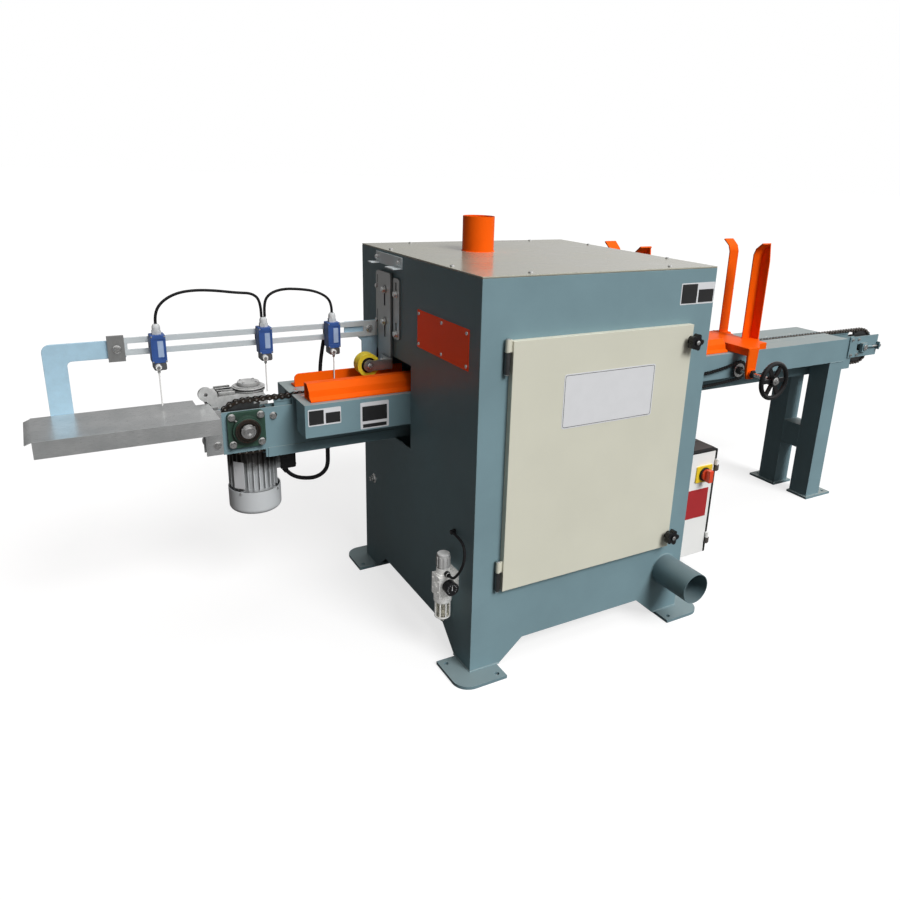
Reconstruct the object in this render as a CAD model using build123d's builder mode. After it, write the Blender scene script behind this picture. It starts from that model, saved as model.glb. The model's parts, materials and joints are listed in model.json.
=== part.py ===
from build123d import *
import math
import os

os.makedirs("parts", exist_ok=True)

# Overall sizes of the machine, in millimetres. The origin is on the floor under the middle of the cabinet,
# X runs to the right along the feed, Y to the back and Z up.
cab_w = 800.0
cab_d = 800.0
cab_h = 1150.0
wall = 4.0
lid_t = 5.0
foot_t = 10.0
deck_z = 745.0
line_y = 155.0

# Clearances: seat between pieces that are fixed together, slip between sliding faces,
# run between a shaft and its bore.
seat = 0.3
slip = 0.3
run = 0.08

# Feed table.
beam_w = 80.0
beam_h = 100.0
beam_t = 4.0
beam_gap = 116.0
chan_w = 40.0
chan_t = 4.0
chan_top = deck_z - 29.0
chan_low = deck_z - 183.0

# Feed chain.
pitch = 19.05
teeth = 26
strand = 150
roller_r = 6.0
plate_h = 7.6
shaft_r = 15.0

# Hopper adjustment.
screw_r = 8.0
adjust_r = 35.0
adjust_half = 6.0
arm_travel = 60.0

# Places that follow from the sizes above.
hx = cab_w / 2
hy = cab_d / 2
near_x = hx + 727.0
far_x = hx + 105.0
near_screw_x = near_x - 105.0
far_screw_x = far_x + 10.0
screw_z = deck_z - 69.0
front_y0 = line_y - beam_gap / 2 - beam_w
front_y1 = line_y - beam_gap / 2
rear_y0 = line_y + beam_gap / 2
rear_y1 = line_y + beam_gap / 2 + beam_w
chan_y0 = line_y - chan_w / 2
chan_y1 = line_y + chan_w / 2
beam_x0 = -hx - 331.0
drive_x = -hx - 471.5
idler_x = drive_x + strand * pitch
beam_x1 = idler_x - 280.0
chan_x0 = drive_x - 66.5
chan_x1 = idler_x - 63.0
pitch_r = pitch / (2 * math.sin(math.pi / teeth))
chain_z = deck_z - 5.0
shaft_z = chain_z - pitch_r
return_z = shaft_z - pitch_r

TURN = {"X": (0, 90, 0), "Y": (90, 0, 0), "Z": (0, 0, 0)}


def block(x0, x1, y0, y1, z0, z1, mode=Mode.ADD):
    with Locations(((x0 + x1) / 2, (y0 + y1) / 2, (z0 + z1) / 2)):
        Box(x1 - x0, y1 - y0, z1 - z0, mode=mode)


def rod(axis, p, q, r, a, b, mode=Mode.ADD):
    mid = (a + b) / 2
    place = {"X": (mid, p, q), "Y": (p, mid, q), "Z": (p, q, mid)}[axis]
    with Locations(place):
        Cylinder(r, abs(b - a), rotation=TURN[axis], mode=mode)


def cut(points, axis, a, b, mode=Mode.ADD):
    base = {"X": Plane.YZ.offset(a), "Y": Plane.XZ.offset(-b), "Z": Plane.XY.offset(a)}[axis]
    with BuildSketch(base) as outline:
        with BuildLine():
            Polyline(*points, close=True)
        make_face()
    extrude(outline.sketch, amount=b - a, mode=mode)


def bends(points):
    radii = []
    for before, here, after in zip(points, points[1:], points[2:]):
        one = Vector(*here) - Vector(*before)
        two = Vector(*after) - Vector(*here)
        half = math.radians(one.get_angle(two)) / 2
        radii.append(0.45 * min(one.length, two.length) / math.tan(half))
    return radii


# Cabinet shell: four walls, cut out between the feet, with the board tunnel through both sides.
opening_w = 596.0
opening_z0 = 279.0
opening_z1 = cab_h - 174.0
tunnel_z1 = deck_z + 85.0
pipe_r = 50.0
spigot_r = pipe_r - 0.6
pipe_x = 326.0
pipe_z = 170.0
cut_wide = 297.0
cut_narrow = 223.0
cut_top = 75.0
with BuildPart() as cabinet:
    block(-hx, hx, -hy, hy, foot_t, cab_h)
    block(-hx + wall, hx - wall, -hy + wall, hy - wall, foot_t, cab_h - 3, Mode.SUBTRACT)
    block(-hx + 30, hx - 30, -hy + 30, hy - 30, cab_h - 3, cab_h, Mode.SUBTRACT)
    arch = [(-cut_wide, foot_t), (-cut_narrow, cut_top), (cut_narrow, cut_top), (cut_wide, foot_t)]
    cut(arch, "X", -hx, hx, Mode.SUBTRACT)
    cut(arch, "Y", -hy, hy, Mode.SUBTRACT)
    block(-opening_w / 2, opening_w / 2, -hy, -hy + wall, opening_z0, opening_z1, Mode.SUBTRACT)
    block(-hx, hx, front_y0 - seat, rear_y1 + seat, chan_low - seat, tunnel_z1, Mode.SUBTRACT)
    rod("Y", pipe_x, pipe_z, spigot_r + seat, -hy, -hy + wall, Mode.SUBTRACT)

# Four foot plates welded under the corners, each with two floor bolt holes.
foot_out = 63.0
foot_in = 90.0
foot_hole = 7.0
with BuildPart() as foot_plates:
    for sx in (-1, 1):
        for sy in (-1, 1):
            xs = sorted((sx * (hx - foot_in), sx * (hx + foot_out)))
            ys = sorted((sy * (hy - foot_in), sy * (hy + foot_out)))
            block(xs[0], xs[1], ys[0], ys[1], 0, foot_t)
    upright = foot_plates.edges().filter_by(Axis.Z)
    fillet([e for e in upright if abs(e.center().X) > hx and abs(e.center().Y) > hy], 50)
    for sx in (-1, 1):
        for sy in (-1, 1):
            rod("Z", sx * (hx - 68), sy * (hy + 42), foot_hole, 0, foot_t, Mode.SUBTRACT)
            rod("Z", sx * (hx + 42), sy * (hy - 68), foot_hole, 0, foot_t, Mode.SUBTRACT)

# Lid and the two dust pipes.
top_pipe = (-121.0, 119.0)
pipe_t = 2.0
with BuildPart() as lid:
    block(-hx, hx, -hy, hy, cab_h, cab_h + lid_t)
    rod("Z", top_pipe[0], top_pipe[1], spigot_r + seat, cab_h, cab_h + lid_t, Mode.SUBTRACT)

with BuildPart() as top_dust_pipe:
    rod("Z", top_pipe[0], top_pipe[1], pipe_r, cab_h + lid_t + seat, cab_h + 112)
    rod("Z", top_pipe[0], top_pipe[1], spigot_r, cab_h - 25, cab_h + lid_t + seat)
    rod("Z", top_pipe[0], top_pipe[1], pipe_r - pipe_t, cab_h - 25, cab_h + 112, Mode.SUBTRACT)

with BuildPart() as front_dust_pipe:
    rod("Y", pipe_x, pipe_z, pipe_r, -hy - 150, -hy - seat)
    rod("Y", pipe_x, pipe_z, spigot_r, -hy - seat, -hy + 30)
    rod("Y", pipe_x, pipe_z, pipe_r - pipe_t, -hy - 150, -hy + 30, Mode.SUBTRACT)

# Two box beams carry the table, closed at the outfeed end.
# The screws of the hopper run in two bosses on the front one.
with BuildPart() as front_beam:
    block(beam_x0, beam_x1, front_y0, front_y1, deck_z - beam_h, deck_z)
    for x in (near_screw_x, far_screw_x):
        rod("Y", x, screw_z, 18, front_y0 - 7, front_y0)
        rod("Y", x, screw_z, screw_r + run, front_y0 - 7, front_y0 + 40, Mode.SUBTRACT)
    block(beam_x0 + beam_t, beam_x1, front_y0 + beam_t, front_y1 - beam_t,
          deck_z - beam_h + beam_t, deck_z - beam_t, Mode.SUBTRACT)

with BuildPart() as rear_beam:
    block(beam_x0, beam_x1, rear_y0, rear_y1, deck_z - beam_h, deck_z)
    block(beam_x0 + beam_t, beam_x1, rear_y0 + beam_t, rear_y1 - beam_t,
          deck_z - beam_h + beam_t, deck_z - beam_t, Mode.SUBTRACT)

# Stand under the infeed end: two box legs, a crossbar and two bolted feet.
leg_w = 88.0
leg_d = 94.0
leg_x0 = beam_x1 - 100.0
leg_x1 = leg_x0 + leg_w
bar_z0 = 222.0
bar_z1 = 330.0
with BuildPart() as stand:
    block(leg_x0, leg_x1, front_y0, front_y0 + leg_d, foot_t, deck_z - beam_h)
    block(leg_x0, leg_x1, rear_y1 - leg_d, rear_y1, foot_t, deck_z - beam_h)
    block(leg_x0, leg_x1, front_y0 + leg_d, rear_y1 - leg_d, bar_z0, bar_z1)
    for y0, y1 in ((front_y0, front_y0 + leg_d), (rear_y1 - leg_d, rear_y1)):
        block(leg_x0 + beam_t, leg_x1 - beam_t, y0 + beam_t, y1 - beam_t, foot_t, deck_z - beam_h - beam_t,
              Mode.SUBTRACT)
    block(leg_x0 + beam_t, leg_x1 - beam_t, front_y0 + leg_d - beam_t, rear_y1 - leg_d + beam_t,
          bar_z0 + beam_t, bar_z1 - beam_t, Mode.SUBTRACT)
    block(leg_x0 - 10, beam_x1 + 56, front_y0 - 10, front_y0 + leg_d + 6, 0, foot_t)
    block(leg_x0 - 10, beam_x1 + 10, rear_y1 - leg_d - 6, rear_y1 + 47, 0, foot_t)
    for dy in (-27, 27):
        rod("Z", beam_x1 + 30, (front_y0 + front_y1) / 2 + dy, foot_hole, 0, foot_t, Mode.SUBTRACT)
    for dx in (-26, 26):
        rod("Z", (leg_x0 + beam_x1) / 2 + dx, rear_y1 + 25, foot_hole, 0, foot_t, Mode.SUBTRACT)

# Chain channel: two side plates on a bottom plate, the bars that carry both strands on cross pins,
# the ties to the beams and the deck strips along the chain slot.
bar_half = 5.2
slot_half = 14.0
strip_t = 5.0
tie_spots = [beam_x0 + 45, -hx + 60, 0.0, hx - 60, hx + 300, hx + 880, beam_x1 - 60]
pin_spots = [drive_x + 150 + 420 * n for n in range(7)]
with BuildPart() as chain_channel:
    block(chan_x0, chan_x1, chan_y0, chan_y1, chan_low, chan_top)
    block(chan_x0, chan_x1, chan_y0 + chan_t, chan_y1 - chan_t, chan_low + chan_t, chan_top, Mode.SUBTRACT)
    block(drive_x + 90, idler_x - 90, line_y - bar_half, line_y + bar_half,
          chan_low + chan_t, return_z - roller_r - seat)
    block(chan_x0, drive_x + 86, chan_y0 + chan_t, chan_y1 - chan_t, chan_low, chan_low + chan_t,
          Mode.SUBTRACT)
    block(chan_x0, drive_x + 54, chan_y0, chan_y1, chan_low, chan_low + 26, Mode.SUBTRACT)
    block(idler_x - 90, chan_x1, chan_y0 + chan_t, chan_y1 - chan_t, chan_low, chan_low + chan_t,
          Mode.SUBTRACT)
    rod("Y", drive_x, shaft_z, shaft_r + 4, chan_y0, chan_y1, Mode.SUBTRACT)
    block(drive_x + 90, idler_x - 90, line_y - 2, line_y + 2, shaft_z - 10, chain_z - roller_r - 6)
    block(drive_x + 90, idler_x - 90, line_y - bar_half, line_y + bar_half,
          chain_z - roller_r - 8, chain_z - roller_r - seat)
    block(drive_x + 61, -hx - 2, chan_y0 - 3, chan_y0, chan_low, chan_low + 29)
    for x in pin_spots:
        rod("Y", x, shaft_z, 9, chan_y0 + chan_t, chan_y1 - chan_t)
    for x in tie_spots:
        block(x - 20, x + 20, front_y1, chan_y0, chan_top - 28, chan_top - 2)
        block(x - 20, x + 20, chan_y1, rear_y0, chan_top - 28, chan_top - 2)
    block(beam_x0, beam_x1, front_y1, line_y - slot_half, deck_z - strip_t, deck_z)
    block(beam_x0, beam_x1, chan_y0, chan_y0 + chan_t, chan_top, deck_z - strip_t)
    block(beam_x0, beam_x1, line_y + slot_half, rear_y0, deck_z - strip_t, deck_z)
    block(beam_x0, beam_x1, chan_y1 - chan_t, chan_y1, chan_top, deck_z - strip_t)

# Feed chain: one closed loop of pins, with every link shaped where it can be seen
# and plain strands elsewhere.
pins = [(drive_x + k * pitch, chain_z) for k in range(strand)]
for k in range(teeth // 2):
    turn = math.pi / 2 - k * 2 * math.pi / teeth
    pins.append((idler_x + pitch_r * math.cos(turn), shaft_z + pitch_r * math.sin(turn)))
pins += [(idler_x - k * pitch, return_z) for k in range(strand)]
for k in range(teeth // 2):
    turn = 3 * math.pi / 2 - k * 2 * math.pi / teeth
    pins.append((drive_x + pitch_r * math.cos(turn), shaft_z + pitch_r * math.sin(turn)))
loop = len(pins)
half_turn = teeth // 2
shown = list(range(0, 13)) + list(range(strand - 16, strand + half_turn + 2))
shown += list(range(loop - half_turn - 2, loop))


def link_outline(k):
    ax, az = pins[k % loop]
    bx, bz = pins[(k + 1) % loop]
    ux, uz = (bx - ax) / pitch, (bz - az) / pitch
    length = math.hypot(ux, uz)
    ux, uz = ux / length, uz / length
    corners = [(ax, az, -7.5, -3.3), (ax, az, -3.0, -plate_h), (bx, bz, 3.0, -plate_h), (bx, bz, 7.5, -3.3),
               (bx, bz, 7.5, 3.3), (bx, bz, 3.0, plate_h), (ax, az, -3.0, plate_h), (ax, az, -7.5, 3.3)]
    return [(x + u * ux - n * uz, z + u * uz + n * ux) for x, z, u, n in corners]


rollers = sorted({k + step for k in shown if k % 2 for step in (0, 1)})
strand_half = [(-9.8, -plate_h), (-5.9, -plate_h), (-5.9, -5.5), (5.9, -5.5), (5.9, -plate_h),
               (9.8, -plate_h), (9.8, plate_h), (-9.8, plate_h)]
with BuildPart() as drive_chain:
    for odd, near in ((0, 8.0), (1, 5.9)):
        for start in (line_y + near + 1.7, line_y - near):
            with BuildSketch(Plane.XZ.offset(-start)):
                for k in shown:
                    if k % 2 == odd:
                        with BuildLine():
                            Polyline(*link_outline(k), close=True)
                        make_face()
            extrude(amount=1.7)
    with BuildSketch(Plane.XZ.offset(-line_y - 5.75)):
        with Locations(*[pins[k % loop] for k in rollers]):
            RegularPolygon(roller_r, 6)
    extrude(amount=11.5)
    cut([(line_y + y, chain_z + z) for y, z in strand_half], "X", pins[13][0] + 7.8,
        pins[strand - 16][0] - 7.8)
    low_a = pins[loop - half_turn - 2][0] + 7.8
    low_b = pins[strand + half_turn + 2][0] - 7.8
    cut([(line_y + y, return_z + z) for y, z in strand_half], "X", low_a, low_b)

# Sprockets, shafts and the flange bearing at the outfeed end.
tooth_half = 5.4
hub_r = 32.0
hub_half = chan_w / 2 - chan_t - 2.0
with BuildPart() as drive_sprocket:
    with BuildSketch(Plane((drive_x, line_y + tooth_half, shaft_z), (1, 0, 0), (0, -1, 0))):
        Circle(pitch_r + 5)
        with PolarLocations(pitch_r, teeth, 90):
            Circle(roller_r + 0.3, mode=Mode.SUBTRACT)
            Polygon((0, -6.2), (9, -8.6), (9, 8.6), (0, 6.2), align=None, mode=Mode.SUBTRACT)
    extrude(amount=2 * tooth_half)
    rod("Y", drive_x, shaft_z, hub_r, line_y - hub_half, line_y + hub_half)
    rod("Y", drive_x, shaft_z, shaft_r + 0.05, line_y - 20, line_y + 20, Mode.SUBTRACT)

bearing_y = chan_y0
bearing_half = 54.0
gear_y1 = chan_y1 + 148.0
with BuildPart() as drive_shaft:
    rod("Y", drive_x, shaft_z, shaft_r, bearing_y - 46, gear_y1 + 8)

with BuildPart() as flange_bearing:
    block(drive_x - bearing_half, drive_x + bearing_half, bearing_y - 13, bearing_y,
          shaft_z - bearing_half, shaft_z + bearing_half)
    fillet(flange_bearing.edges().filter_by(Axis.Y), 14)
    rod("Y", drive_x, shaft_z, 42, bearing_y - 24, bearing_y - 13)
    rod("Y", drive_x, shaft_z, 37, bearing_y - 30, bearing_y - 24)
    rod("Y", drive_x, shaft_z, 31, bearing_y - 30, bearing_y - 26, Mode.SUBTRACT)
    rod("Y", drive_x, shaft_z, 21, bearing_y - 37, bearing_y - 26)
    rod("Y", drive_x, shaft_z, shaft_r + run, bearing_y - 40, bearing_y, Mode.SUBTRACT)

# Worm gear unit on the back of the channel: three-armed flange, housing, worm tube and hollow output bore.
worm_x = drive_x + 45.0
flange_y = chan_y1 + 40.0
worm_y = (flange_y + gear_y1) / 2
gear_low = shaft_z - 76.0
arm_tips = [(-90.0, 90.0), (-88.0, -54.0), (88.0, -54.0)]
with BuildPart() as gearbox:
    rod("Y", drive_x, shaft_z, 46, chan_y1, flange_y)
    block(drive_x - 78, drive_x + 88, flange_y, gear_y1 - 6, gear_low, shaft_z + 78)
    fillet(gearbox.edges().filter_by(Axis.Y).filter_by(lambda e: abs(e.center().X - drive_x) > 60), 22)
    for dx, dz in arm_tips:
        rod("Y", drive_x + dx, shaft_z + dz, 21, flange_y, flange_y + 12)
        tilt = math.degrees(math.atan2(dz, dx))
        with Locations(Location((drive_x + dx / 2, flange_y + 6, shaft_z + dz / 2), (0, -tilt, 0))):
            Box(math.hypot(dx, dz), 12, 30)
    rod("Z", worm_x, worm_y, 44, gear_low - 10, shaft_z + 92)
    rod("Z", worm_x, worm_y, 32, shaft_z + 92, shaft_z + 103)
    rod("Z", worm_x, worm_y, 78, gear_low - 12, gear_low)
    rod("Y", drive_x, shaft_z, 50, gear_y1 - 6, gear_y1)
    block(drive_x - 40, drive_x - 8, flange_y + 30, flange_y + 34, shaft_z + 78, shaft_z + 86)
    block(drive_x - 40, drive_x - 8, flange_y + 62, flange_y + 66, shaft_z + 78, shaft_z + 86)
    block(drive_x - 74, drive_x - 58, flange_y, flange_y + 50, shaft_z + 70, shaft_z + 92)
    for dx, dz in arm_tips:
        rod("Y", drive_x + dx, shaft_z + dz, 5.5, flange_y, flange_y + 12, Mode.SUBTRACT)
    rod("Y", drive_x, shaft_z, shaft_r + run, chan_y1, gear_y1, Mode.SUBTRACT)

# Drive motor hanging under the gear unit, with cooling fins, fan cover and terminal box.
motor_top = gear_low - 12.0
motor_low = motor_top - 150.0
fin_count = 28
pad_x = worm_x + 77.0
with BuildPart() as drive_motor:
    rod("Z", worm_x, worm_y, 78, motor_top - 10, motor_top)
    rod("Z", worm_x, worm_y, 66, motor_low, motor_top - 10)
    with BuildSketch(Plane((worm_x, worm_y, motor_low + 12), (1, 0, 0), (0, 0, 1))):
        for n in range(3, fin_count - 2):
            with PolarLocations(70, 1, n * 360 / fin_count):
                Rectangle(14, 3)
    extrude(amount=motor_top - 22 - motor_low - 12)
    block(worm_x, pad_x, worm_y - 32, worm_y + 32, motor_top - 94, motor_top - 22)

cover_r = 80.0
with BuildPart() as fan_cover:
    rod("Z", worm_x, worm_y, cover_r, motor_low - 72, motor_low + 4)
    fillet(fan_cover.faces().sort_by(Axis.Z)[0].edges(), 16)
    rod("Z", worm_x, worm_y, cover_r - 2.5, motor_low - 54, motor_low + 4, Mode.SUBTRACT)
    rod("Z", worm_x, worm_y, cover_r - 18, motor_low - 69, motor_low - 50, Mode.SUBTRACT)
    for n in range(8):
        spot = math.radians(45 * n)
        rod("Z", worm_x + 42 * math.cos(spot), worm_y + 42 * math.sin(spot), 9,
            motor_low - 72, motor_low - 60, Mode.SUBTRACT)
    with Locations(*[Location((worm_x, worm_y, motor_low - 2), (0, 0, 45 + 90 * n)) for n in range(4)]):
        with Locations((72, 0, 0)):
            Box(11.4, 8, 10)

box_x1 = pad_x + 44.0
box_z0 = motor_top - 98.0
cable_x = pad_x + 20.0
with BuildPart() as terminal_box:
    block(pad_x, box_x1, worm_y - 42, worm_y + 42, box_z0, motor_top - 16)
    fillet(terminal_box.edges().filter_by(Axis.X), 8)
    rod("Z", cable_x, worm_y, 11, box_z0 - 10, box_z0)

# Motor cable: a loop from the terminal box up to the underside of the channel.
cable_r = 6.5
cable_end_x = -hx - 221.0
cable_path = [
    (cable_x, worm_y, box_z0 - 10 - seat),
    (cable_x, worm_y, box_z0 - 24),
    (cable_x + 10, worm_y - 4, box_z0 - 44),
    (cable_x + 36, worm_y - 17, box_z0 - 56),
    (cable_x + 68, worm_y - 38, box_z0 - 52),
    (cable_end_x - 10, worm_y - 70, box_z0 - 30),
    (cable_end_x, line_y + 14, box_z0 + 8),
    (cable_end_x, line_y, box_z0 + 48),
    (cable_end_x, line_y, chan_low - seat),
]
with BuildPart() as motor_cable:
    with BuildLine() as cable_line:
        FilletPolyline(*cable_path, radius=bends(cable_path))
    with BuildSketch(Plane(cable_path[0], (1, 0, 0), (0, 0, -1))):
        Circle(cable_r)
    sweep()

# Outfeed tray: folded sheet with front and back flanges, an end lip and two cheeks on the channel.
tray_z = deck_z - 19.0
tray_half = beam_gap / 2 + 46.0
tray_t = 2.0
tray_x0 = -hx - 1008.0
tray_x1 = drive_x - 85.0
tray_y0 = line_y - tray_half
tray_y1 = line_y + tray_half
cheek_x0 = chan_x0 - 47.0
cheek_z0 = chan_low + 28.0
with BuildPart() as outfeed_tray:
    block(tray_x0, tray_x1, tray_y0, tray_y1, tray_z - tray_t, tray_z)
    block(tray_x0, tray_x1, tray_y0, tray_y0 + tray_t, tray_z - 46, tray_z)
    block(tray_x0, tray_x1, tray_y1 - tray_t, tray_y1, tray_z - 46, tray_z)
    lip = [(tray_x0 + 2, tray_z), (tray_x0, tray_z), (tray_x0 - 17, tray_z - 7),
           (tray_x0 - 16, tray_z - 9), (tray_x0 + 2, tray_z - tray_t)]
    cut(lip, "Y", tray_y0 + 6, tray_y1 - 6)
    block(tray_x1 - 36, tray_x1, flange_y - 8, tray_y1, tray_z - 46, tray_z, Mode.SUBTRACT)
    for y0 in (chan_y0, chan_y1 - chan_t):
        block(cheek_x0, chan_x0, y0, y0 + chan_t, cheek_z0, tray_z - tray_t)

# Switch rail over the outfeed: two L plates, a slotted rail and a clamp plate.
plate_t = 6.0
rail_y1 = tray_y1 + seat
rail_y0 = rail_y1 - plate_t
rail_z0 = deck_z + 132.0
rail_z1 = deck_z + 182.0
rail_x0 = -hx - 800.0
rail_x1 = -hx - 9.0
post_x = -hx - 959.0
with BuildPart() as rail_brackets:
    left = [(post_x, tray_z - 42), (post_x + 57, tray_z - 42), (post_x + 57, rail_z0 - 6),
            (rail_x0 + 45, rail_z0 - 6), (rail_x0 + 45, rail_z1 - 6), (post_x, rail_z1 - 6)]
    cut(left, "Y", rail_y1, rail_y1 + plate_t)
    corner = rail_brackets.edges().filter_by(Axis.Y)
    fillet(corner.filter_by(lambda e: abs(e.center().X - post_x) < 1 and e.center().Z > rail_z0), 22)
    inner = rail_brackets.edges().filter_by(Axis.Y)
    fillet(inner.filter_by(lambda e: abs(e.center().X - post_x - 57) < 1 and e.center().Z > tray_z), 12)
    right = [(rail_x1 - 52, deck_z), (rail_x1, deck_z), (rail_x1, rail_z1), (rail_x1 - 110, rail_z1),
             (rail_x1 - 110, rail_z0), (rail_x1 - 67, rail_z0), (rail_x1 - 52, rail_z0 - 15)]
    cut(right, "Y", rail_y1, rail_y1 + plate_t)
    block(rail_x1 - 52, rail_x1, rail_y1 + plate_t, rear_y1 - 2, deck_z, deck_z + plate_t)

with BuildPart() as sensor_rail:
    block(rail_x0, rail_x1, rail_y0, rail_y1, rail_z0, rail_z1)
    block(rail_x0 + 50, rail_x1 - 48, rail_y0, rail_y1, rail_z0 + 16.5, rail_z1 - 16.5, Mode.SUBTRACT)

with BuildPart() as rail_clamp:
    block(rail_x0 - 1, rail_x0 + 42, rail_y0 - 6, rail_y0, rail_z0 - 14, rail_z1 + 9)
    rod("Y", rail_x0 + 22, (rail_z0 + rail_z1) / 2 - 4, 9, rail_y0 - 12, rail_y0 - 6)

# Three limit switches on the rail, each with a sprung rod lever in the path of the boards.
switch_x = [-hx - 675.0, -hx - 379.0, -hx - 168.0]
rod_low = [tray_z + 9, deck_z - 2, deck_z + 10]
switch_w = 40.0
switch_z0 = rail_z0 - 20.0
switch_z1 = rail_z1 + 9.0
switch_y0 = rail_y0 - 40.0
switch_y = (switch_y0 + rail_y0) / 2
gland_z = switch_z1 + 29.0
pivot_z = switch_z0 - 10.0
lever_off = 6.0
with BuildPart() as limit_switches:
    for x in switch_x:
        block(x - switch_w / 2, x + switch_w / 2, switch_y0, rail_y0, switch_z0, switch_z1)
        block(x - 17, x + 17, switch_y0 + 2, rail_y0 - 4, switch_z0 - 21, switch_z0)
        rod("Z", x, switch_y, 12, switch_z1, switch_z1 + 12)
        rod("Z", x, switch_y, 10, switch_z1 + 12, gland_z)

levers = []
for n in range(3):
    with BuildPart() as one_lever:
        x = switch_x[n] - lever_off
        rod("Y", x, pivot_z, 8, switch_y0 - 8.3, switch_y0 + 2 - slip)
        rod("Z", x, switch_y0 - 4, 2, rod_low[n], pivot_z - 5)
    levers.append(one_lever)
lever_1 = levers[0]
lever_2 = levers[1]
lever_3 = levers[2]

# Switch cables: switch one to two, two to three, and the bundle down behind the rail to the rear beam.
wire_r = 4.0
bundle_r = 6.0
wire_a = [
    (switch_x[0], switch_y, gland_z + seat),
    (switch_x[0], switch_y, gland_z + 28),
    (switch_x[0] + 20, switch_y, gland_z + 60),
    (switch_x[0] + 60, switch_y, gland_z + 82),
    (switch_x[0] + 110, switch_y, gland_z + 88),
    (switch_x[0] + 166, switch_y, gland_z + 84),
    (switch_x[0] + 222, switch_y, gland_z + 75),
    (switch_x[1] - 30, switch_y, gland_z + 60),
    (switch_x[1] - 5, switch_y, gland_z + 32),
    (switch_x[1] - 5, switch_y, gland_z + seat),
]
wire_b = [
    (switch_x[1] + 5, switch_y, gland_z + seat),
    (switch_x[1] + 5, switch_y, gland_z + 30),
    (switch_x[1] + 24, switch_y, gland_z + 58),
    (switch_x[1] + 64, switch_y, gland_z + 74),
    (switch_x[1] + 112, switch_y, gland_z + 77),
    (switch_x[2] - 52, switch_y, gland_z + 69),
    (switch_x[2] - 14, switch_y, gland_z + 50),
    (switch_x[2], switch_y, gland_z + 24),
    (switch_x[2], switch_y, gland_z + seat),
]
slot_z = (rail_z0 + rail_z1) / 2
wire_c = [
    (switch_x[2], rail_y0 + seat, slot_z),
    (switch_x[2], rail_y1 + 20, slot_z),
    (switch_x[2] - 5, rail_y1 + 29, slot_z - 32),
    (switch_x[2] - 15, rail_y1 + 27, slot_z - 76),
    (switch_x[2] - 28, rail_y1 + 20, slot_z - 122),
    (switch_x[2] - 28, rail_y1 + 20, deck_z + seat),
]
with BuildPart() as switch_cables:
    with BuildLine():
        FilletPolyline(*wire_a, radius=bends(wire_a))
    with BuildSketch(Plane(wire_a[0], (1, 0, 0), Vector(*wire_a[1]) - Vector(*wire_a[0]))):
        Circle(wire_r)
    sweep()
    with BuildLine():
        FilletPolyline(*wire_b, radius=bends(wire_b))
    with BuildSketch(Plane(wire_b[0], (1, 0, 0), Vector(*wire_b[1]) - Vector(*wire_b[0]))):
        Circle(wire_r)
    sweep()
    with BuildLine():
        FilletPolyline(*wire_c, radius=bends(wire_c))
    with BuildSketch(Plane(wire_c[0], (1, 0, 0), Vector(*wire_c[1]) - Vector(*wire_c[0]))):
        Circle(bundle_r)
    sweep()

# Orange side guides on the beams: a folded one in front on both sides of the cabinet, an angle at the back.
guide_x0 = -hx - 306.0
guide_x1 = -hx + 60.0
infeed_x0 = far_x + 90.0
infeed_x1 = near_x - 146.0
guide_h = 48.0
guide_t = 3.0
with BuildPart() as front_guides:
    outer = [(front_y1 - 62, deck_z), (front_y1 - 62, deck_z + 5), (front_y1 - 48, deck_z + 12),
             (front_y1 - 44, deck_z + 30), (front_y1 - 26, deck_z + guide_h), (front_y1, deck_z + guide_h),
             (front_y1, deck_z)]
    hollow = [(front_y1 - 44, deck_z + guide_t), (front_y1 - 44, deck_z + 12), (front_y1 - 40, deck_z + 28),
              (front_y1 - 24, deck_z + guide_h - guide_t), (front_y1 - guide_t, deck_z + guide_h - guide_t),
              (front_y1 - guide_t, deck_z + guide_t)]
    for a, b in ((guide_x0, guide_x1), (infeed_x0, infeed_x1)):
        cut(outer, "X", a, b)
        cut(hollow, "X", a, b, Mode.SUBTRACT)

with BuildPart() as rear_guide:
    block(guide_x0 + 6, guide_x1, rear_y0, rear_y0 + 4, deck_z, deck_z + 42)
    tips = rear_guide.edges().filter_by(Axis.Y)
    fillet(tips.filter_by(lambda e: e.center().X < -hx and e.center().Z > deck_z + 20), 16)
    block(guide_x0 + 6, guide_x1, rear_y0 + 4, rear_y0 + 40, deck_z, deck_z + 4)

# Press wheel on a vertical slide on the outfeed face of the cabinet.
bracket_t = 4.0
slide_y0 = line_y - 13.0
slide_y1 = line_y + 85.0
slide_x1 = -hx - bracket_t - 2 * slip
slide_x0 = slide_x1 - 8.0
slide_z0 = deck_z + 50.0
slide_z1 = cab_h - 60.0
lock_y = line_y + 30.0
lock_z = [cab_h - 118.0, cab_h - 218.0]
press_lift = 40.0
wheel_x = -hx - 87.0
wheel_z = deck_z + 67.0
wheel_r = 36.0
eye_r = 19.0
axle_r = 6.0
with BuildPart() as press_mount:
    block(-hx - 6, -hx, line_y - 65, line_y - 19, cab_h - 263, cab_h - 75)
    for z in (cab_h - 118, cab_h - 241):
        rod("X", line_y - 46, z, 9, -hx - 12, -hx - 6)
    block(-hx - bracket_t, -hx, line_y - 80, line_y + 118, cab_h - 45, cab_h - 10)
    block(-hx - 38, -hx - bracket_t, line_y - 80, line_y + 118, cab_h - 14, cab_h - 10)
    for z in lock_z:
        rod("X", lock_y, z, 5, slide_x0 - 0.3, -hx)
        rod("X", lock_y, z, 13, slide_x0 - 3.3, slide_x0 - 0.3)
        rod("X", lock_y, z, 9, slide_x0 - 10, slide_x0 - 3.3)

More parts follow.
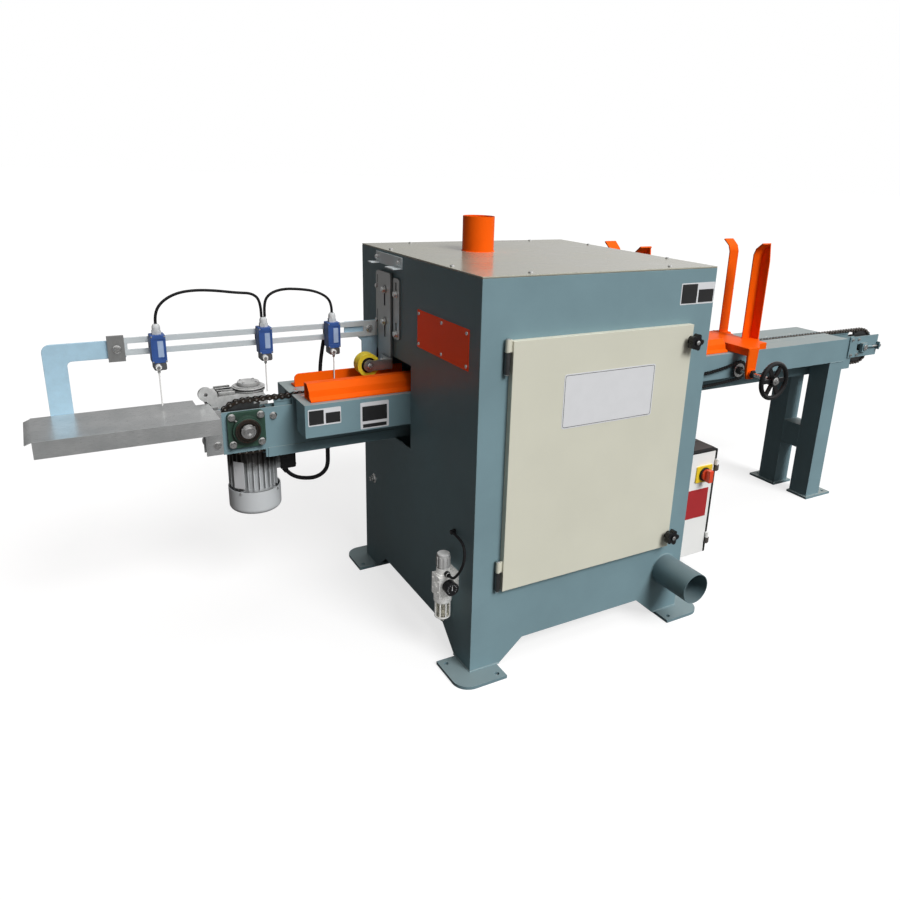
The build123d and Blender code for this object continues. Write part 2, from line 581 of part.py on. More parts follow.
with BuildPart() as press_slide:
    block(slide_x0, slide_x1, slide_y0, slide_y1, slide_z0, slide_z1)
    for z in lock_z:
        block(slide_x0, slide_x1, lock_y - 5.5, lock_y + 5.5, z - press_lift - 6, z + 6, Mode.SUBTRACT)
    block(slide_x0 - 8, slide_x0, line_y - 29, line_y + 45, wheel_z - 17, wheel_z + 17)
    block(wheel_x, slide_x0 - 8, line_y - 29, line_y - 23, wheel_z - 16, wheel_z + 16)
    rod("Y", wheel_x, wheel_z, eye_r, line_y - 29, line_y - 23)
    rod("Y", wheel_x, wheel_z, axle_r, line_y - 33, line_y + 21)

with BuildPart() as press_wheel:
    rod("Y", wheel_x, wheel_z, wheel_r, line_y - 18, line_y + 18)
    for a, b in ((line_y - 18, line_y - 12), (line_y + 12, line_y + 18)):
        rod("Y", wheel_x, wheel_z, 24, a, b, Mode.SUBTRACT)
    rod("Y", wheel_x, wheel_z, 12, line_y - 21, line_y + 18)
    rod("Y", wheel_x, wheel_z, axle_r + run, line_y - 21, line_y + 18, Mode.SUBTRACT)

# Service door: folded pan on two lift hinges, with two star knobs.
door_w = 626.0
door_z0 = opening_z0 - 15.0
door_z1 = opening_z1 + 15.0
door_y1 = -hy - seat
door_y0 = -hy - 20.0
pan_t = 2.0
hinge_x = -door_w / 2 - 12.0
hinge_y = -hy - 11.0
hinge_z = [door_z0 + 60.0, door_z1 - 30.0]
hinge_r = 7.0
with BuildPart() as door:
    block(-door_w / 2, door_w / 2, door_y0, door_y1, door_z0, door_z1)
    block(-door_w / 2 + pan_t, door_w / 2 - pan_t, door_y0 + pan_t, door_y1,
          door_z0 + pan_t, door_z1 - pan_t, Mode.SUBTRACT)
    for z in hinge_z:
        rod("Z", hinge_x, hinge_y, hinge_r, z + slip, z + 34)
        block(hinge_x, -door_w / 2, hinge_y - 3, hinge_y + 1, z + slip, z + 34)

with BuildPart() as door_hinges:
    for z in hinge_z:
        rod("Z", hinge_x, hinge_y, hinge_r, z - 58, z)
        block(hinge_x - 5, hinge_x + 3, hinge_y, -hy, z - 58, z)

knob_x = door_w / 2 - 8.0
knob_r = 25.0
knobs = []
for z in (door_z1 - 48.0, door_z0 + 43.0):
    with BuildPart() as one_knob:
        rod("Y", knob_x, z, 12, door_y0 - 12, door_y0 - slip)
        with BuildSketch(Plane((knob_x, door_y0 - 12, z), (1, 0, 0), (0, -1, 0))):
            Circle(18)
            with PolarLocations(17, 5):
                Circle(8)
        extrude(amount=18)
        rod("Y", knob_x, z, 9, door_y0 - 33, door_y0 - 30)
    knobs.append(one_knob)
knob_upper = knobs[0]
knob_lower = knobs[1]

# Air filter and regulator on the outfeed face.
air_x = -hx - 36.0
air_y = -hy + 110.0
air_z0 = 200.0
air_z1 = 310.0
port_z = air_z1 - 11.0
with BuildPart() as regulator_body:
    block(-hx - 4, -hx, air_y - 30, air_y + 30, air_z0 + 40, air_z1 - 10)
    block(air_x, -hx - 4, air_y - 12, air_y + 12, air_z0 + 50, air_z1 - 24)
    block(air_x - 24, air_x + 24, air_y - 24, air_y + 24, air_z0 + 22, air_z1 - 22)
    rod("Z", air_x, air_y, 24, air_z0, air_z0 + 22)
    rod("Z", air_x, air_y, 20, air_z1 - 22, air_z1)
    rod("Y", air_x, port_z, 7, air_y - 34, air_y)

with BuildPart() as regulator_bowl:
    rod("Z", air_x, air_y, 21, air_z0 - 58, air_z0)
    fillet(regulator_bowl.faces().sort_by(Axis.Z)[0].edges(), 10)
    rod("Z", air_x, air_y, 18.5, air_z0 - 48, air_z0, Mode.SUBTRACT)
    rod("Z", air_x, air_y, 5, air_z0 - 68, air_z0 - 58)

with BuildPart() as regulator_knob:
    rod("Z", air_x, air_y, 19, air_z1 + slip, air_z1 + 46)
    fillet(regulator_knob.faces().sort_by(Axis.Z)[-1].edges(), 4)
    with BuildSketch(Plane((air_x, air_y, air_z1 + 6), (1, 0, 0), (0, 0, 1))):
        with PolarLocations(19, 10):
            Rectangle(4, 5)
    extrude(amount=30)

with BuildPart() as pressure_gauge:
    rod("Y", air_x, air_z0 + 66, 6, air_y - 34, air_y - 24)
    rod("Y", air_x, air_z0 + 66, 20, air_y - 58, air_y - 34)

# Air tube from the wall fitting forward and down to the regulator port.
tube_r = 4.0
tube_z = air_z1 + 105.0
tube_path = [
    (-hx - 9, air_y - 8, tube_z),
    (-hx - 11, air_y - 48, tube_z + 2),
    (-hx - 15, air_y - 84, tube_z - 7),
    (-hx - 22, air_y - 101, tube_z - 36),
    (-hx - 30, air_y - 96, tube_z - 70),
    (air_x, air_y - 78, tube_z - 98),
    (air_x, air_y - 56, port_z),
    (air_x, air_y - 34 - seat, port_z),
]
with BuildPart() as air_tube:
    rod("X", air_y, tube_z, 8, -hx - 16, -hx)
    with BuildLine():
        FilletPolyline(*tube_path, radius=bends(tube_path))
    with BuildSketch(Plane(tube_path[0], (0, 0, 1), Vector(*tube_path[1]) - Vector(*tube_path[0]))):
        Circle(tube_r)
    sweep()

# Electrical box on the infeed face, with its door, main switch and the emergency stop above it.
ebox_x0 = hx
ebox_x1 = hx + 276.0
ebox_y0 = -hy + 165.0
ebox_y1 = ebox_y0 + 200.0
ebox_z0 = 79.0
ebox_z1 = 487.0
eseam = 0.5
edoor_y0 = ebox_y0 - 18.0
ehinge_x = ebox_x1 - 5.0
ehinge_y = edoor_y0 - 7.0
main_x = ebox_x1 - 59.0
main_z = ebox_z0 + 322.0
with BuildPart() as electrical_box:
    block(ebox_x0, ebox_x1, ebox_y0, ebox_y1, ebox_z0, ebox_z1)
    block(ebox_x0 + 2, ebox_x1 - 2, ebox_y0, ebox_y1 - 2, ebox_z0 + 2, ebox_z1 - 2, Mode.SUBTRACT)
    for z in (ebox_z0 + 60, ebox_z1 - 60):
        rod("Z", ehinge_x, ehinge_y, 5, z - 22, z)
        block(ehinge_x, ebox_x1 + 6, ehinge_y - 2, ehinge_y + 2, z - 22, z)
        block(ebox_x1, ebox_x1 + 6, ehinge_y - 2, ebox_y0 + 24, z - 22, z)

with BuildPart() as electrical_door:
    block(ebox_x0 + 3, ebox_x1 - 2, edoor_y0, ebox_y0 - eseam, ebox_z0 + 1, ebox_z1 - 1)
    block(ebox_x0 + 5, ebox_x1 - 4, edoor_y0 + 2, ebox_y0 - eseam, ebox_z0 + 3, ebox_z1 - 3, Mode.SUBTRACT)
    for z in (ebox_z0 + 60, ebox_z1 - 60):
        rod("Z", ehinge_x, ehinge_y, 5, z + slip, z + 22)
        block(ehinge_x - 4, ehinge_x + 3, ehinge_y, edoor_y0, z + slip, z + 22)
    block(main_x - 36, main_x + 36, edoor_y0 - 5, edoor_y0, main_z - 30, main_z + 30)
    rod("Y", main_x, main_z, 23, edoor_y0 - 12, edoor_y0 - 5)

with BuildPart() as main_switch:
    rod("Y", main_x, main_z, 20, edoor_y0 - 20, edoor_y0 - 12 - slip)
    block(main_x - 9, main_x + 9, edoor_y0 - 40, edoor_y0 - 20, main_z - 22, main_z + 22)

stop_y = -hy + 60.0
stop_z = cab_h - 150.0
stop_push = 6.0
with BuildPart() as estop_housing:
    rod("X", stop_y, stop_z, 18, hx, hx + 8)
    rod("X", stop_y, stop_z, 13, hx + 8, hx + 20)
    rod("X", stop_y, stop_z, 8 + slip, hx + 2, hx + 20, Mode.SUBTRACT)

with BuildPart() as estop_button:
    rod("X", stop_y, stop_z, 8, hx + 10, hx + 20 + stop_push + 2)
    rod("X", stop_y, stop_z, 16, hx + 20 + stop_push + 1, hx + 20 + stop_push + 16)
    fillet(estop_button.faces().sort_by(Axis.X)[-1].edges(), 6)

# Hopper: two rear posts are fixed, two front posts slide across on arms driven by linked screws.
post_w = 50.0
post_t = 5.0
front_face = line_y - 50.0
rear_face = line_y + 70.0
bend_z = deck_z + 368.0
tip_z = deck_z + 416.0
flare = 38.0
rib_front = 46.0
rib_rear = 36.0
base_z = deck_z + 32.0
shoe_t = 6.0
foot_h = 8.0
base_x0 = near_x - 132.0
base_x1 = near_x + 54.0
base_y1 = rear_face + rib_rear
split_y = rear_face - 16.0
leg_y0 = front_y0 - 73.0
leg_y1 = leg_y0 + 10.0
with BuildPart() as hopper_frames:
    for x, low in ((near_x, base_z), (far_x, deck_z + foot_h)):
        side = [(rear_face, low), (rear_face, bend_z), (rear_face + 9, bend_z + 24),
                (rear_face + flare, tip_z), (rear_face + flare + 5, tip_z - 4),
                (rear_face + 14, bend_z + 22), (rear_face + post_t, bend_z - 2), (rear_face + post_t, low)]
        cut(side, "X", x, x + post_w)
        rib = [(rear_face, low), (rear_face, bend_z), (rear_face + 9, bend_z + 24),
               (rear_face + flare, tip_z), (rear_face + rib_rear, bend_z - 20), (rear_face + rib_rear, low)]
        cut(rib, "X", x + post_w - post_t, x + post_w)
    block(base_x0 + 7, base_x1, front_y0 + 2, base_y1, deck_z, base_z - shoe_t - slip)
    block(base_x0 + 7, base_x1, split_y + 1.5, base_y1, base_z - shoe_t - slip, base_z)
    block(base_x0 + 7, base_x1 - 6, front_y0 + 8, base_y1 - 6, deck_z, base_z - shoe_t - 6, Mode.SUBTRACT)
    block(base_x0 + 7, base_x1, line_y - 24, line_y + 24, deck_z, deck_z + 14, Mode.SUBTRACT)
    block(near_x + 15, base_x1, front_face + 20, split_y - 10, deck_z, base_z, Mode.SUBTRACT)
    block(far_x - 10, far_x + 60, rear_y0 + 2, rear_y1, deck_z, deck_z + foot_h)
    block(far_x - 10, far_x + 60, front_y0 + 2, front_y1, deck_z, deck_z + foot_h)

arms = []
near_arm = (near_x, near_screw_x, base_z - shoe_t)
far_arm = (far_x, far_screw_x, deck_z + foot_h + slip)
for x, screw_x, low in (near_arm, far_arm):
    with BuildPart() as one_arm:
        top = low + shoe_t
        side = [(front_face, low), (front_face, bend_z), (front_face - 9, bend_z + 24),
                (front_face - flare, tip_z), (front_face - flare - 5, tip_z - 4),
                (front_face - 14, bend_z + 22), (front_face - post_t, bend_z - 2),
                (front_face - post_t, low)]
        cut(side, "X", x, x + post_w)
        rib = [(front_face, low), (front_face, bend_z), (front_face - 9, bend_z + 24),
               (front_face - flare, tip_z), (front_face - rib_front, bend_z - 20),
               (front_face - rib_front, low)]
        cut(rib, "X", x + post_w - post_t, x + post_w)
        block(screw_x - 27, x + 54, leg_y0, front_face, low, top)
        leg = [(screw_x - 27, top), (screw_x - 24, screw_z), (screw_x - 16, screw_z - 22),
               (screw_x + 16, screw_z - 22), (screw_x + 24, screw_z), (screw_x + 29, top)]
        cut(leg, "Y", leg_y0, leg_y1)
        rod("Y", screw_x, screw_z, 16, leg_y0 - 8, leg_y1 + 6)
        if x == near_x:
            block(near_x + 4, near_x + 15, front_face, split_y, low, top)
            block(base_x0, near_x + 4, front_face, split_y, low, top)
            web = [(leg_y0, base_z), (line_y - 5, base_z), (line_y - 55, deck_z + 2), (leg_y0, deck_z + 2)]
            cut(web, "X", base_x0, base_x0 + 6)
        rod("Y", screw_x, screw_z, screw_r + 0.3, leg_y0 - 20, leg_y1 + 20, Mode.SUBTRACT)
    arms.append(one_arm)
hopper_arm_near = arms[0]
hopper_arm_far = arms[1]

wheel_y0 = front_y0 - 195.0
sprocket_y = front_y0 - 16.0
screws = []
for x, out in ((near_screw_x, wheel_y0 - 4), (far_screw_x, leg_y0 - arm_travel - 20)):
    with BuildPart() as one_screw:
        rod("Y", x, screw_z, screw_r, out, front_y0 + 38)
        rod("Y", x, screw_z, adjust_r - adjust_half - 1.2, sprocket_y, sprocket_y + 6)
        rod("Y", x, screw_z, 14, sprocket_y - 6, sprocket_y + 8.6)
    screws.append(one_screw)
screw_near = screws[0]
screw_far = screws[1]

hand_r = 76.0
with BuildPart() as handwheel:
    with Locations((near_screw_x, wheel_y0 + 10, screw_z)):
        Torus(hand_r - 9, 9, rotation=(90, 0, 0))
    rod("Y", near_screw_x, screw_z, 20, wheel_y0, wheel_y0 + 28)
    for tilt in (0, 60, 120):
        with Locations((near_screw_x, wheel_y0 + 12, screw_z)):
            Box(2 * hand_r - 16, 8, 16, rotation=(0, tilt, 0))
    rod("Y", near_screw_x, screw_z, screw_r + 0.05, wheel_y0 - 2, wheel_y0 + 30, Mode.SUBTRACT)

# The linking chain hangs slack between the two screws.
span = near_screw_x - far_screw_x
slack = []
for n in range(13):
    slack.append((far_screw_x + span * n / 12, adjust_r - 33 * 4 * n * (12 - n) / 144))
for n in range(1, 12):
    turn = math.pi / 2 - math.pi * n / 12
    slack.append((near_screw_x + adjust_r * math.cos(turn), adjust_r * math.sin(turn)))
for n in range(13):
    slack.append((near_screw_x - span * n / 12, -adjust_r - 13 * 4 * n * (12 - n) / 144))
for n in range(1, 12):
    turn = 3 * math.pi / 2 - math.pi * n / 12
    slack.append((far_screw_x + adjust_r * math.cos(turn), adjust_r * math.sin(turn)))


def beside(points, away):
    moved = []
    for before, here, after in zip(points[-1:] + points[:-1], points, points[1:] + points[:1]):
        dx, dz = after[0] - before[0], after[1] - before[1]
        long = math.hypot(dx, dz)
        moved.append((here[0] - dz / long * away, screw_z + here[1] + dx / long * away))
    return moved


with BuildPart() as adjust_chain:
    cut(beside(slack, adjust_half), "Y", sprocket_y, sprocket_y + 6)
    cut(beside(slack, -adjust_half), "Y", sprocket_y, sprocket_y + 6, Mode.SUBTRACT)

# Take-up at the infeed end: slotted plates, idler shaft in two blocks and the adjusting screws.
take_x0 = idler_x - 95.0
take_x1 = idler_x + 111.0
take_z0 = shaft_z - 46.0
take_z1 = shaft_z + 52.0
block_half = 20.0
with BuildPart() as take_up:
    for y0, side in ((chan_y0 - 6, -1), (chan_y1, 1)):
        block(take_x0, take_x1, y0, y0 + 6, take_z0, take_z1)
        block(idler_x - 40, idler_x + 40, y0, y0 + 6, shaft_z - 15.3, shaft_z + 15.3, Mode.SUBTRACT)
        out = y0 if side < 0 else y0 + 6
        ys = sorted((out, out + side * 16))
        block(take_x1 - 6, take_x1, ys[0], ys[1], shaft_z - 18, shaft_z + 18)
        block(idler_x - block_half, idler_x + block_half, ys[0], ys[1],
              shaft_z - block_half, shaft_z + block_half)
        rod("X", out + side * 8, shaft_z, 5, idler_x + block_half, take_x1 + 16)
        rod("X", out + side * 8, shaft_z, 8.5, take_x1, take_x1 + 7)
    rod("Y", idler_x, shaft_z, shaft_r, chan_y0 - 26, chan_y1 + 26)

with BuildPart() as idler_sprocket:
    with BuildSketch(Plane((idler_x, line_y + tooth_half, shaft_z), (1, 0, 0), (0, -1, 0))):
        Circle(pitch_r + 5)
        with PolarLocations(pitch_r, teeth, 90):
            Circle(roller_r + 0.3, mode=Mode.SUBTRACT)
            Polygon((0, -6.2), (9, -8.6), (9, 8.6), (0, 6.2), align=None, mode=Mode.SUBTRACT)
    extrude(amount=2 * tooth_half)
    rod("Y", idler_x, shaft_z, hub_r, line_y - hub_half, line_y + hub_half)
    rod("Y", idler_x, shaft_z, shaft_r + run, line_y - 20, line_y + 20, Mode.SUBTRACT)

# Inside the cabinet: two cutter units on cross rails over the table, one for each edge of the board.
cutter_x = [-90.0, 90.0]
cutter_y = [front_y1 - 31.0, rear_y0 + 31.0]
cut_travel = 12.0
rail_half = 52.0
way_z0 = deck_z + 55.0
way_z1 = way_z0 + 14.0
cut_z0 = deck_z + 7.0
with BuildPart() as cutter_rails:
    for x in cutter_x:
        for side in (-1, 1):
            xm = x + side * rail_half
            block(xm - 8, xm + 8, front_y0 - 30, rear_y1 + 30, way_z0, way_z1)
            block(xm - 8, xm + 8, front_y0 + 3, front_y0 + 23, deck_z, way_z0)
            block(xm - 8, xm + 8, rear_y1 - 23, rear_y1 - 3, deck_z, way_z0)

units = []
heads = []
for x, y in zip(cutter_x, cutter_y):
    with BuildPart() as one_unit:
        block(x - 62, x + 62, y - 70, y + 70, way_z1 + slip, way_z1 + 12)
        for side in (-1, 1):
            inner = x + side * (rail_half - 8 - slip)
            xs = sorted((inner, inner - side * 9))
            block(xs[0], xs[1], y - 66, y + 66, way_z0 + 2, way_z1 + slip)
        rod("Z", x, y, 58, way_z1 + 12, way_z1 + 22)
        rod("Z", x, y, 52, way_z1 + 22, way_z1 + 190)
        rod("Z", x, y, 56, way_z1 + 190, way_z1 + 236)
        block(x - 30, x + 30, y - 76, y - 40, way_z1 + 70, way_z1 + 140)
        rod("Z", x, y, 9 + run, way_z0, way_z1 + 60, Mode.SUBTRACT)
        rod("Z", x, y, 16, way_z0, way_z1 + 18, Mode.SUBTRACT)
    units.append(one_unit)
    with BuildPart() as one_head:
        with Locations((x, y, cut_z0 + 15)):
            Cone(31, 20, 30)
        for turn in (0, 60, 120):
            with Locations((x, y, cut_z0 + 15)):
                Box(56, 5, 24, rotation=(0, 0, turn))
        rod("Z", x, y, 14, cut_z0 + 30, way_z1 - 4)
        rod("Z", x, y, 9, way_z1 - 4, way_z1 + 58)
    heads.append(one_head)
cutter_unit_front = units[0]
cutter_unit_rear = units[1]
cutter_head_front = heads[0]
cutter_head_rear = heads[1]

pieces = {
    "cabinet": cabinet,
    "foot_plates": foot_plates,
    "lid": lid,
    "top_dust_pipe": top_dust_pipe,
    "front_dust_pipe": front_dust_pipe,
    "front_beam": front_beam,
    "rear_beam": rear_beam,
    "stand": stand,
    "chain_channel": chain_channel,
    "drive_chain": drive_chain,
    "drive_sprocket": drive_sprocket,
    "drive_shaft": drive_shaft,
    "flange_bearing": flange_bearing,
    "gearbox": gearbox,
    "drive_motor": drive_motor,
    "fan_cover": fan_cover,
    "terminal_box": terminal_box,
    "motor_cable": motor_cable,
    "outfeed_tray": outfeed_tray,
    "rail_brackets": rail_brackets,
    "sensor_rail": sensor_rail,
    "rail_clamp": rail_clamp,
    "limit_switches": limit_switches,
    "lever_1": lever_1,
    "lever_2": lever_2,
    "lever_3": lever_3,
    "switch_cables": switch_cables,
    "front_guides": front_guides,
    "rear_guide": rear_guide,
    "press_mount": press_mount,
    "press_slide": press_slide,
    "press_wheel": press_wheel,
    "door": door,
    "door_hinges": door_hinges,
    "knob_upper": knob_upper,
    "knob_lower": knob_lower,
    "regulator_body": regulator_body,
    "regulator_bowl": regulator_bowl,
    "regulator_knob": regulator_knob,
    "pressure_gauge": pressure_gauge,
    "air_tube": air_tube,
    "electrical_box": electrical_box,
    "electrical_door": electrical_door,
    "main_switch": main_switch,
    "estop_housing": estop_housing,
    "estop_button": estop_button,
    "hopper_frames": hopper_frames,
    "hopper_arm_near": hopper_arm_near,
    "hopper_arm_far": hopper_arm_far,
    "screw_near": screw_near,
    "screw_far": screw_far,
    "handwheel": handwheel,
    "adjust_chain": adjust_chain,
    "take_up": take_up,
    "idler_sprocket": idler_sprocket,
    "cutter_rails": cutter_rails,
    "cutter_unit_front": cutter_unit_front,
    "cutter_unit_rear": cutter_unit_rear,
    "cutter_head_front": cutter_head_front,
    "cutter_head_rear": cutter_head_rear,
}
for name, piece in pieces.items():
    piece.part.label = name
    export_step(piece.part, f"parts/{name}.step")
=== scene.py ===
import json
import math

import bmesh
import bpy
from mathutils import Matrix, Vector


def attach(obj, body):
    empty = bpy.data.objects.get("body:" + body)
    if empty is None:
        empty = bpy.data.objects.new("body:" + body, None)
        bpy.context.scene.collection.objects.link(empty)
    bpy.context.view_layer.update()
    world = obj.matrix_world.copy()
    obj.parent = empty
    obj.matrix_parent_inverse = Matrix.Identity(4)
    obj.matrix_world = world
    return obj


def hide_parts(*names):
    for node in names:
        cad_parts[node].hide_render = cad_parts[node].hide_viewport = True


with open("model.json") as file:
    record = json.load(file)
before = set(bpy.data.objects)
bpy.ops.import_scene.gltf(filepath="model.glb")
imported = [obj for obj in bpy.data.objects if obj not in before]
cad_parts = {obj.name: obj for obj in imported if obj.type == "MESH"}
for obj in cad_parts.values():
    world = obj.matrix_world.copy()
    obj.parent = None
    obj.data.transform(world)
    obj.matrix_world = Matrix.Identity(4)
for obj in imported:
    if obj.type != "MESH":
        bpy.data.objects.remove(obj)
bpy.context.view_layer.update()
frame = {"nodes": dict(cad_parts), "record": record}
nodes = frame["nodes"]

# Sizes in millimetres, as in the construction.
HX, HY, LID_Z = 400.0, 400.0, 1155.0
DECK, LINE = 745.0, 155.0
FRONT_Y0, REAR_Y1 = 17.0, 293.0
CHAN_Y0, CHAN_Y1 = 135.0, 175.0
PITCH, TEETH, STRAND = 19.05, 26, 150
PITCH_R = PITCH / (2 * math.sin(math.pi / TEETH))
DRIVE_X = -871.5
IDLER_X = DRIVE_X + STRAND * PITCH
CHAIN_Z = DECK - 5
SHAFT_Z = CHAIN_Z - PITCH_R
RETURN_Z = SHAFT_Z - PITCH_R
NEAR_SCREW_X, FAR_SCREW_X, SCREW_Z = 1022.0, 515.0, 676.0
MOTOR_X, MOTOR_Y = -826.5, 269.0
MOTOR_TOP = SHAFT_Z - 88
SWITCH_X = (-1075.0, -779.0, -568.0)
SWITCH_Y0, RAIL_Y0, RAIL_Y1 = 213.3, 253.3, 259.3
SWITCH_Y = (SWITCH_Y0 + RAIL_Y0) / 2
RAIL_Z = 902.0

LEFT, RIGHT, FRONT, BACK, DOWN, UP = (-1, 0, 0), (1, 0, 0), (0, -1, 0), (0, 1, 0), (0, 0, -1), (0, 0, 1)


# Materials
def new_material(name):
    mat = bpy.data.materials.new(name)
    mat.use_nodes = True
    tree = mat.node_tree
    return mat, tree, tree.nodes["Principled BSDF"]


def give(tree, place, value):
    """Gives one input a value or a link."""
    if isinstance(value, bpy.types.NodeSocket):
        tree.links.new(value, place)
    else:
        place.default_value = value


def feed(tree, one, **values):
    """Gives inputs of a node, named with _ for a space, their values or links."""
    for key, value in values.items():
        give(tree, one.inputs[key.replace("_", " ")], value)


def node(tree, kind, **values):
    one = tree.nodes.new(kind)
    for key, value in values.items():
        if hasattr(one, key):
            setattr(one, key, value)
        else:
            feed(tree, one, **{key: value})
    return one


def coords(tree, stretch=(1, 1, 1)):
    place = node(tree, "ShaderNodeTexCoord").outputs["Object"]
    return node(tree, "ShaderNodeMapping", Vector=place, Scale=stretch).outputs["Vector"]


def noise(tree, vector, scale, detail=4.0, rough=0.55):
    one = node(tree, "ShaderNodeTexNoise", Vector=vector, Scale=scale, Detail=detail, Roughness=rough)
    return one.outputs["Fac"]


def shade(colour, k):
    return tuple(min(1.0, max(0.0, c * k)) for c in colour)


def tones(tree, value, colour, stops):
    """A colour times one factor up to a first value, and times another from a second."""
    one = node(tree, "ShaderNodeValToRGB", Fac=value)
    for element, (spot, k) in zip(one.color_ramp.elements, stops):
        element.position = spot
        element.color = (*shade(colour, k), 1.0)
    return one.outputs["Color"]


def bump(tree, shader, height, strength, distance):
    one = node(tree, "ShaderNodeBump", Strength=strength, Distance=distance, Height=height)
    feed(tree, shader, Normal=one.outputs["Normal"])


# Sockets of the mix node for colours
MIX_A, MIX_B, MIX_OUT = 6, 7, 2


def mixed(tree, fac, a, b):
    one = node(tree, "ShaderNodeMix", data_type="RGBA", Factor=fac)
    for socket, value in ((MIX_A, a), (MIX_B, b)):
        give(tree, one.inputs[socket], (*value, 1.0) if isinstance(value, tuple) else value)
    return one.outputs[MIX_OUT]


def span(tree, value, a, b, low, high):
    one = node(tree, "ShaderNodeMapRange", Value=value, From_Min=a, From_Max=b, To_Min=low, To_Max=high)
    return one.outputs["Result"]


def maths(tree, operation, *values):
    one = node(tree, "ShaderNodeMath", operation=operation)
    for place, value in zip(one.inputs, values):
        give(tree, place, value)
    return one.outputs[0]


def dot(tree, a, b):
    one = node(tree, "ShaderNodeVectorMath", operation="DOT_PRODUCT")
    give(tree, one.inputs[0], a)
    give(tree, one.inputs[1], b)
    return one.outputs["Value"]


def edge_mask(tree, radius):
    """One along sharp edges, where a rounded normal leans away from the face, and zero on the flat."""
    soft = node(tree, "ShaderNodeBevel", samples=4, Radius=radius)
    flat = node(tree, "ShaderNodeNewGeometry")
    lean = dot(tree, soft.outputs["Normal"], flat.outputs["Normal"])
    return span(tree, lean, 0.80, 0.99, 1.0, 0.0)


def z_part(tree, vector):
    return node(tree, "ShaderNodeSeparateXYZ", Vector=vector).outputs["Z"]


def upward(tree):
    """How far a face looks up: one on top, zero on a wall."""
    return z_part(tree, node(tree, "ShaderNodeNewGeometry").outputs["Normal"])


def gaps(tree, reach):
    """Zero in the open, rising to one in corners and narrow gaps."""
    one = node(tree, "ShaderNodeAmbientOcclusion", samples=6, Distance=reach)
    return span(tree, one.outputs["AO"], 0.35, 0.92, 1.0, 0.0)


def paint(name, colour, rough=0.38, coat=0.0, grain=900.0, lumps=0.06, dirt=0.0, spec=0.5, worn=None,
          dust_and_sheen=0.0, grime_and_shade=0.0, glow=0.0, oil_and_shadow=None):
    """Sprayed paint: clouds, fine bump, dirt, rubbed edges, dust with a painted warm sheen on top, grime
    with painted shade in gaps, oil with a painted shadow up high.
    """
    mat, tree, shader = new_material(name)
    place = coords(tree)
    cloud = noise(tree, place, 5.0, 5.0)
    tone = tones(tree, cloud, colour, ((0.3, 1 - lumps), (0.7, 1 + lumps)))
    if dirt:
        spots = noise(tree, place, 38.0, 8.0, 0.7)
        tone = mixed(tree, span(tree, spots, 0.60, 0.75, 0.0, dirt), tone, shade(colour, 0.55))
    if worn:
        rubbed = span(tree, noise(tree, place, 70.0, 6.0, 0.7), 0.42, 0.66, 0.0, 0.75)
        tone = mixed(tree, maths(tree, "MULTIPLY", edge_mask(tree, 0.0022), rubbed), tone, worn)
    # Dust and painted sheen: upward faces turn warm grey, for dust and for the warm reflection that tops
    # show.
    if dust_and_sheen:
        dust_and_sheen_share = maths(tree, "MULTIPLY", span(tree, upward(tree), 0.6, 0.95, 0.0, dust_and_sheen),
                      span(tree, cloud, 0.3, 0.7, 0.7, 1.0))
        tone = mixed(tree, dust_and_sheen_share, tone, (0.42, 0.40, 0.35))
    # Painted shade: ambient occlusion darkens corners and narrow gaps, for grime there and for the shade
    # that falls in them.
    if grime_and_shade:
        tone = mixed(tree, maths(tree, "MULTIPLY", gaps(tree, 0.02), grime_and_shade), tone, (0.02, 0.02, 0.02))
    # Oil and painted shadow: darker above a ragged height, for chain oil and for the shadow under the
    # channel.
    if oil_and_shadow:
        wave = span(tree, noise(tree, place, 45.0), 0.3, 0.7, -0.012, 0.012)
        ragged = maths(tree, "ADD", z_part(tree, place), wave)
        tone = mixed(tree, span(tree, ragged, *oil_and_shadow, 0.0, 0.93), tone, (0.030, 0.025, 0.021))
    # Painted light: the surface glows faintly in its own colour though it is no lamp.
    if glow:
        feed(tree, shader, Emission_Color=(*colour, 1.0), Emission_Strength=glow)
    matt = span(tree, cloud, 0.3, 0.7, rough - 0.05, rough + 0.06)
    feed(tree, shader, Base_Color=tone, Roughness=matt, Coat_Weight=coat, Coat_Roughness=0.12,
         Specular_IOR_Level=spec)
    bump(tree, shader, noise(tree, place, grain, 2.0), 0.10, 0.0006)
    return mat


def metal(name, colour, rough, streak, vary, metallic=1.0, stretch=(1, 1, 1), rust=None, lift=0.06,
          grime_and_shade=0.0, stain=(0.35, 0.86), glow=0.0):
    """Bare or plated metal: streaks in colour and roughness, stains, with fine scratches as bump."""
    mat, tree, shader = new_material(name)
    cloud = noise(tree, coords(tree), 9.0, 6.0)
    lines = noise(tree, coords(tree, stretch), streak, 6.0, 0.65)
    tone = tones(tree, lines, colour, ((0.25, 1 - vary), (0.75, 1 + vary)))
    tone = mixed(tree, span(tree, cloud, 0.35, 0.65, 0.0, stain[0]), tone, shade(colour, stain[1]))
    if rust:
        spots = noise(tree, coords(tree), 120.0, 8.0, 0.7)
        tone = mixed(tree, span(tree, spots, 0.50, 0.68, 0.0, 0.85), tone, rust)
    # Painted shade: ambient occlusion darkens corners and narrow gaps, for grime there and for the shade
    # that falls in them.
    if grime_and_shade:
        tone = mixed(tree, maths(tree, "MULTIPLY", gaps(tree, 0.03), grime_and_shade), tone, (0.02, 0.02, 0.018))
    # Painted light: the surface glows faintly in its own colour though it is no lamp.
    if glow:
        feed(tree, shader, Emission_Color=(*colour, 1.0), Emission_Strength=glow)
    matt = span(tree, lines, 0.2, 0.8, rough - 0.08, rough + 0.12)
    feed(tree, shader, Base_Color=tone, Roughness=matt, Metallic=metallic)
    bump(tree, shader, lines, lift, 0.0004)
    return mat


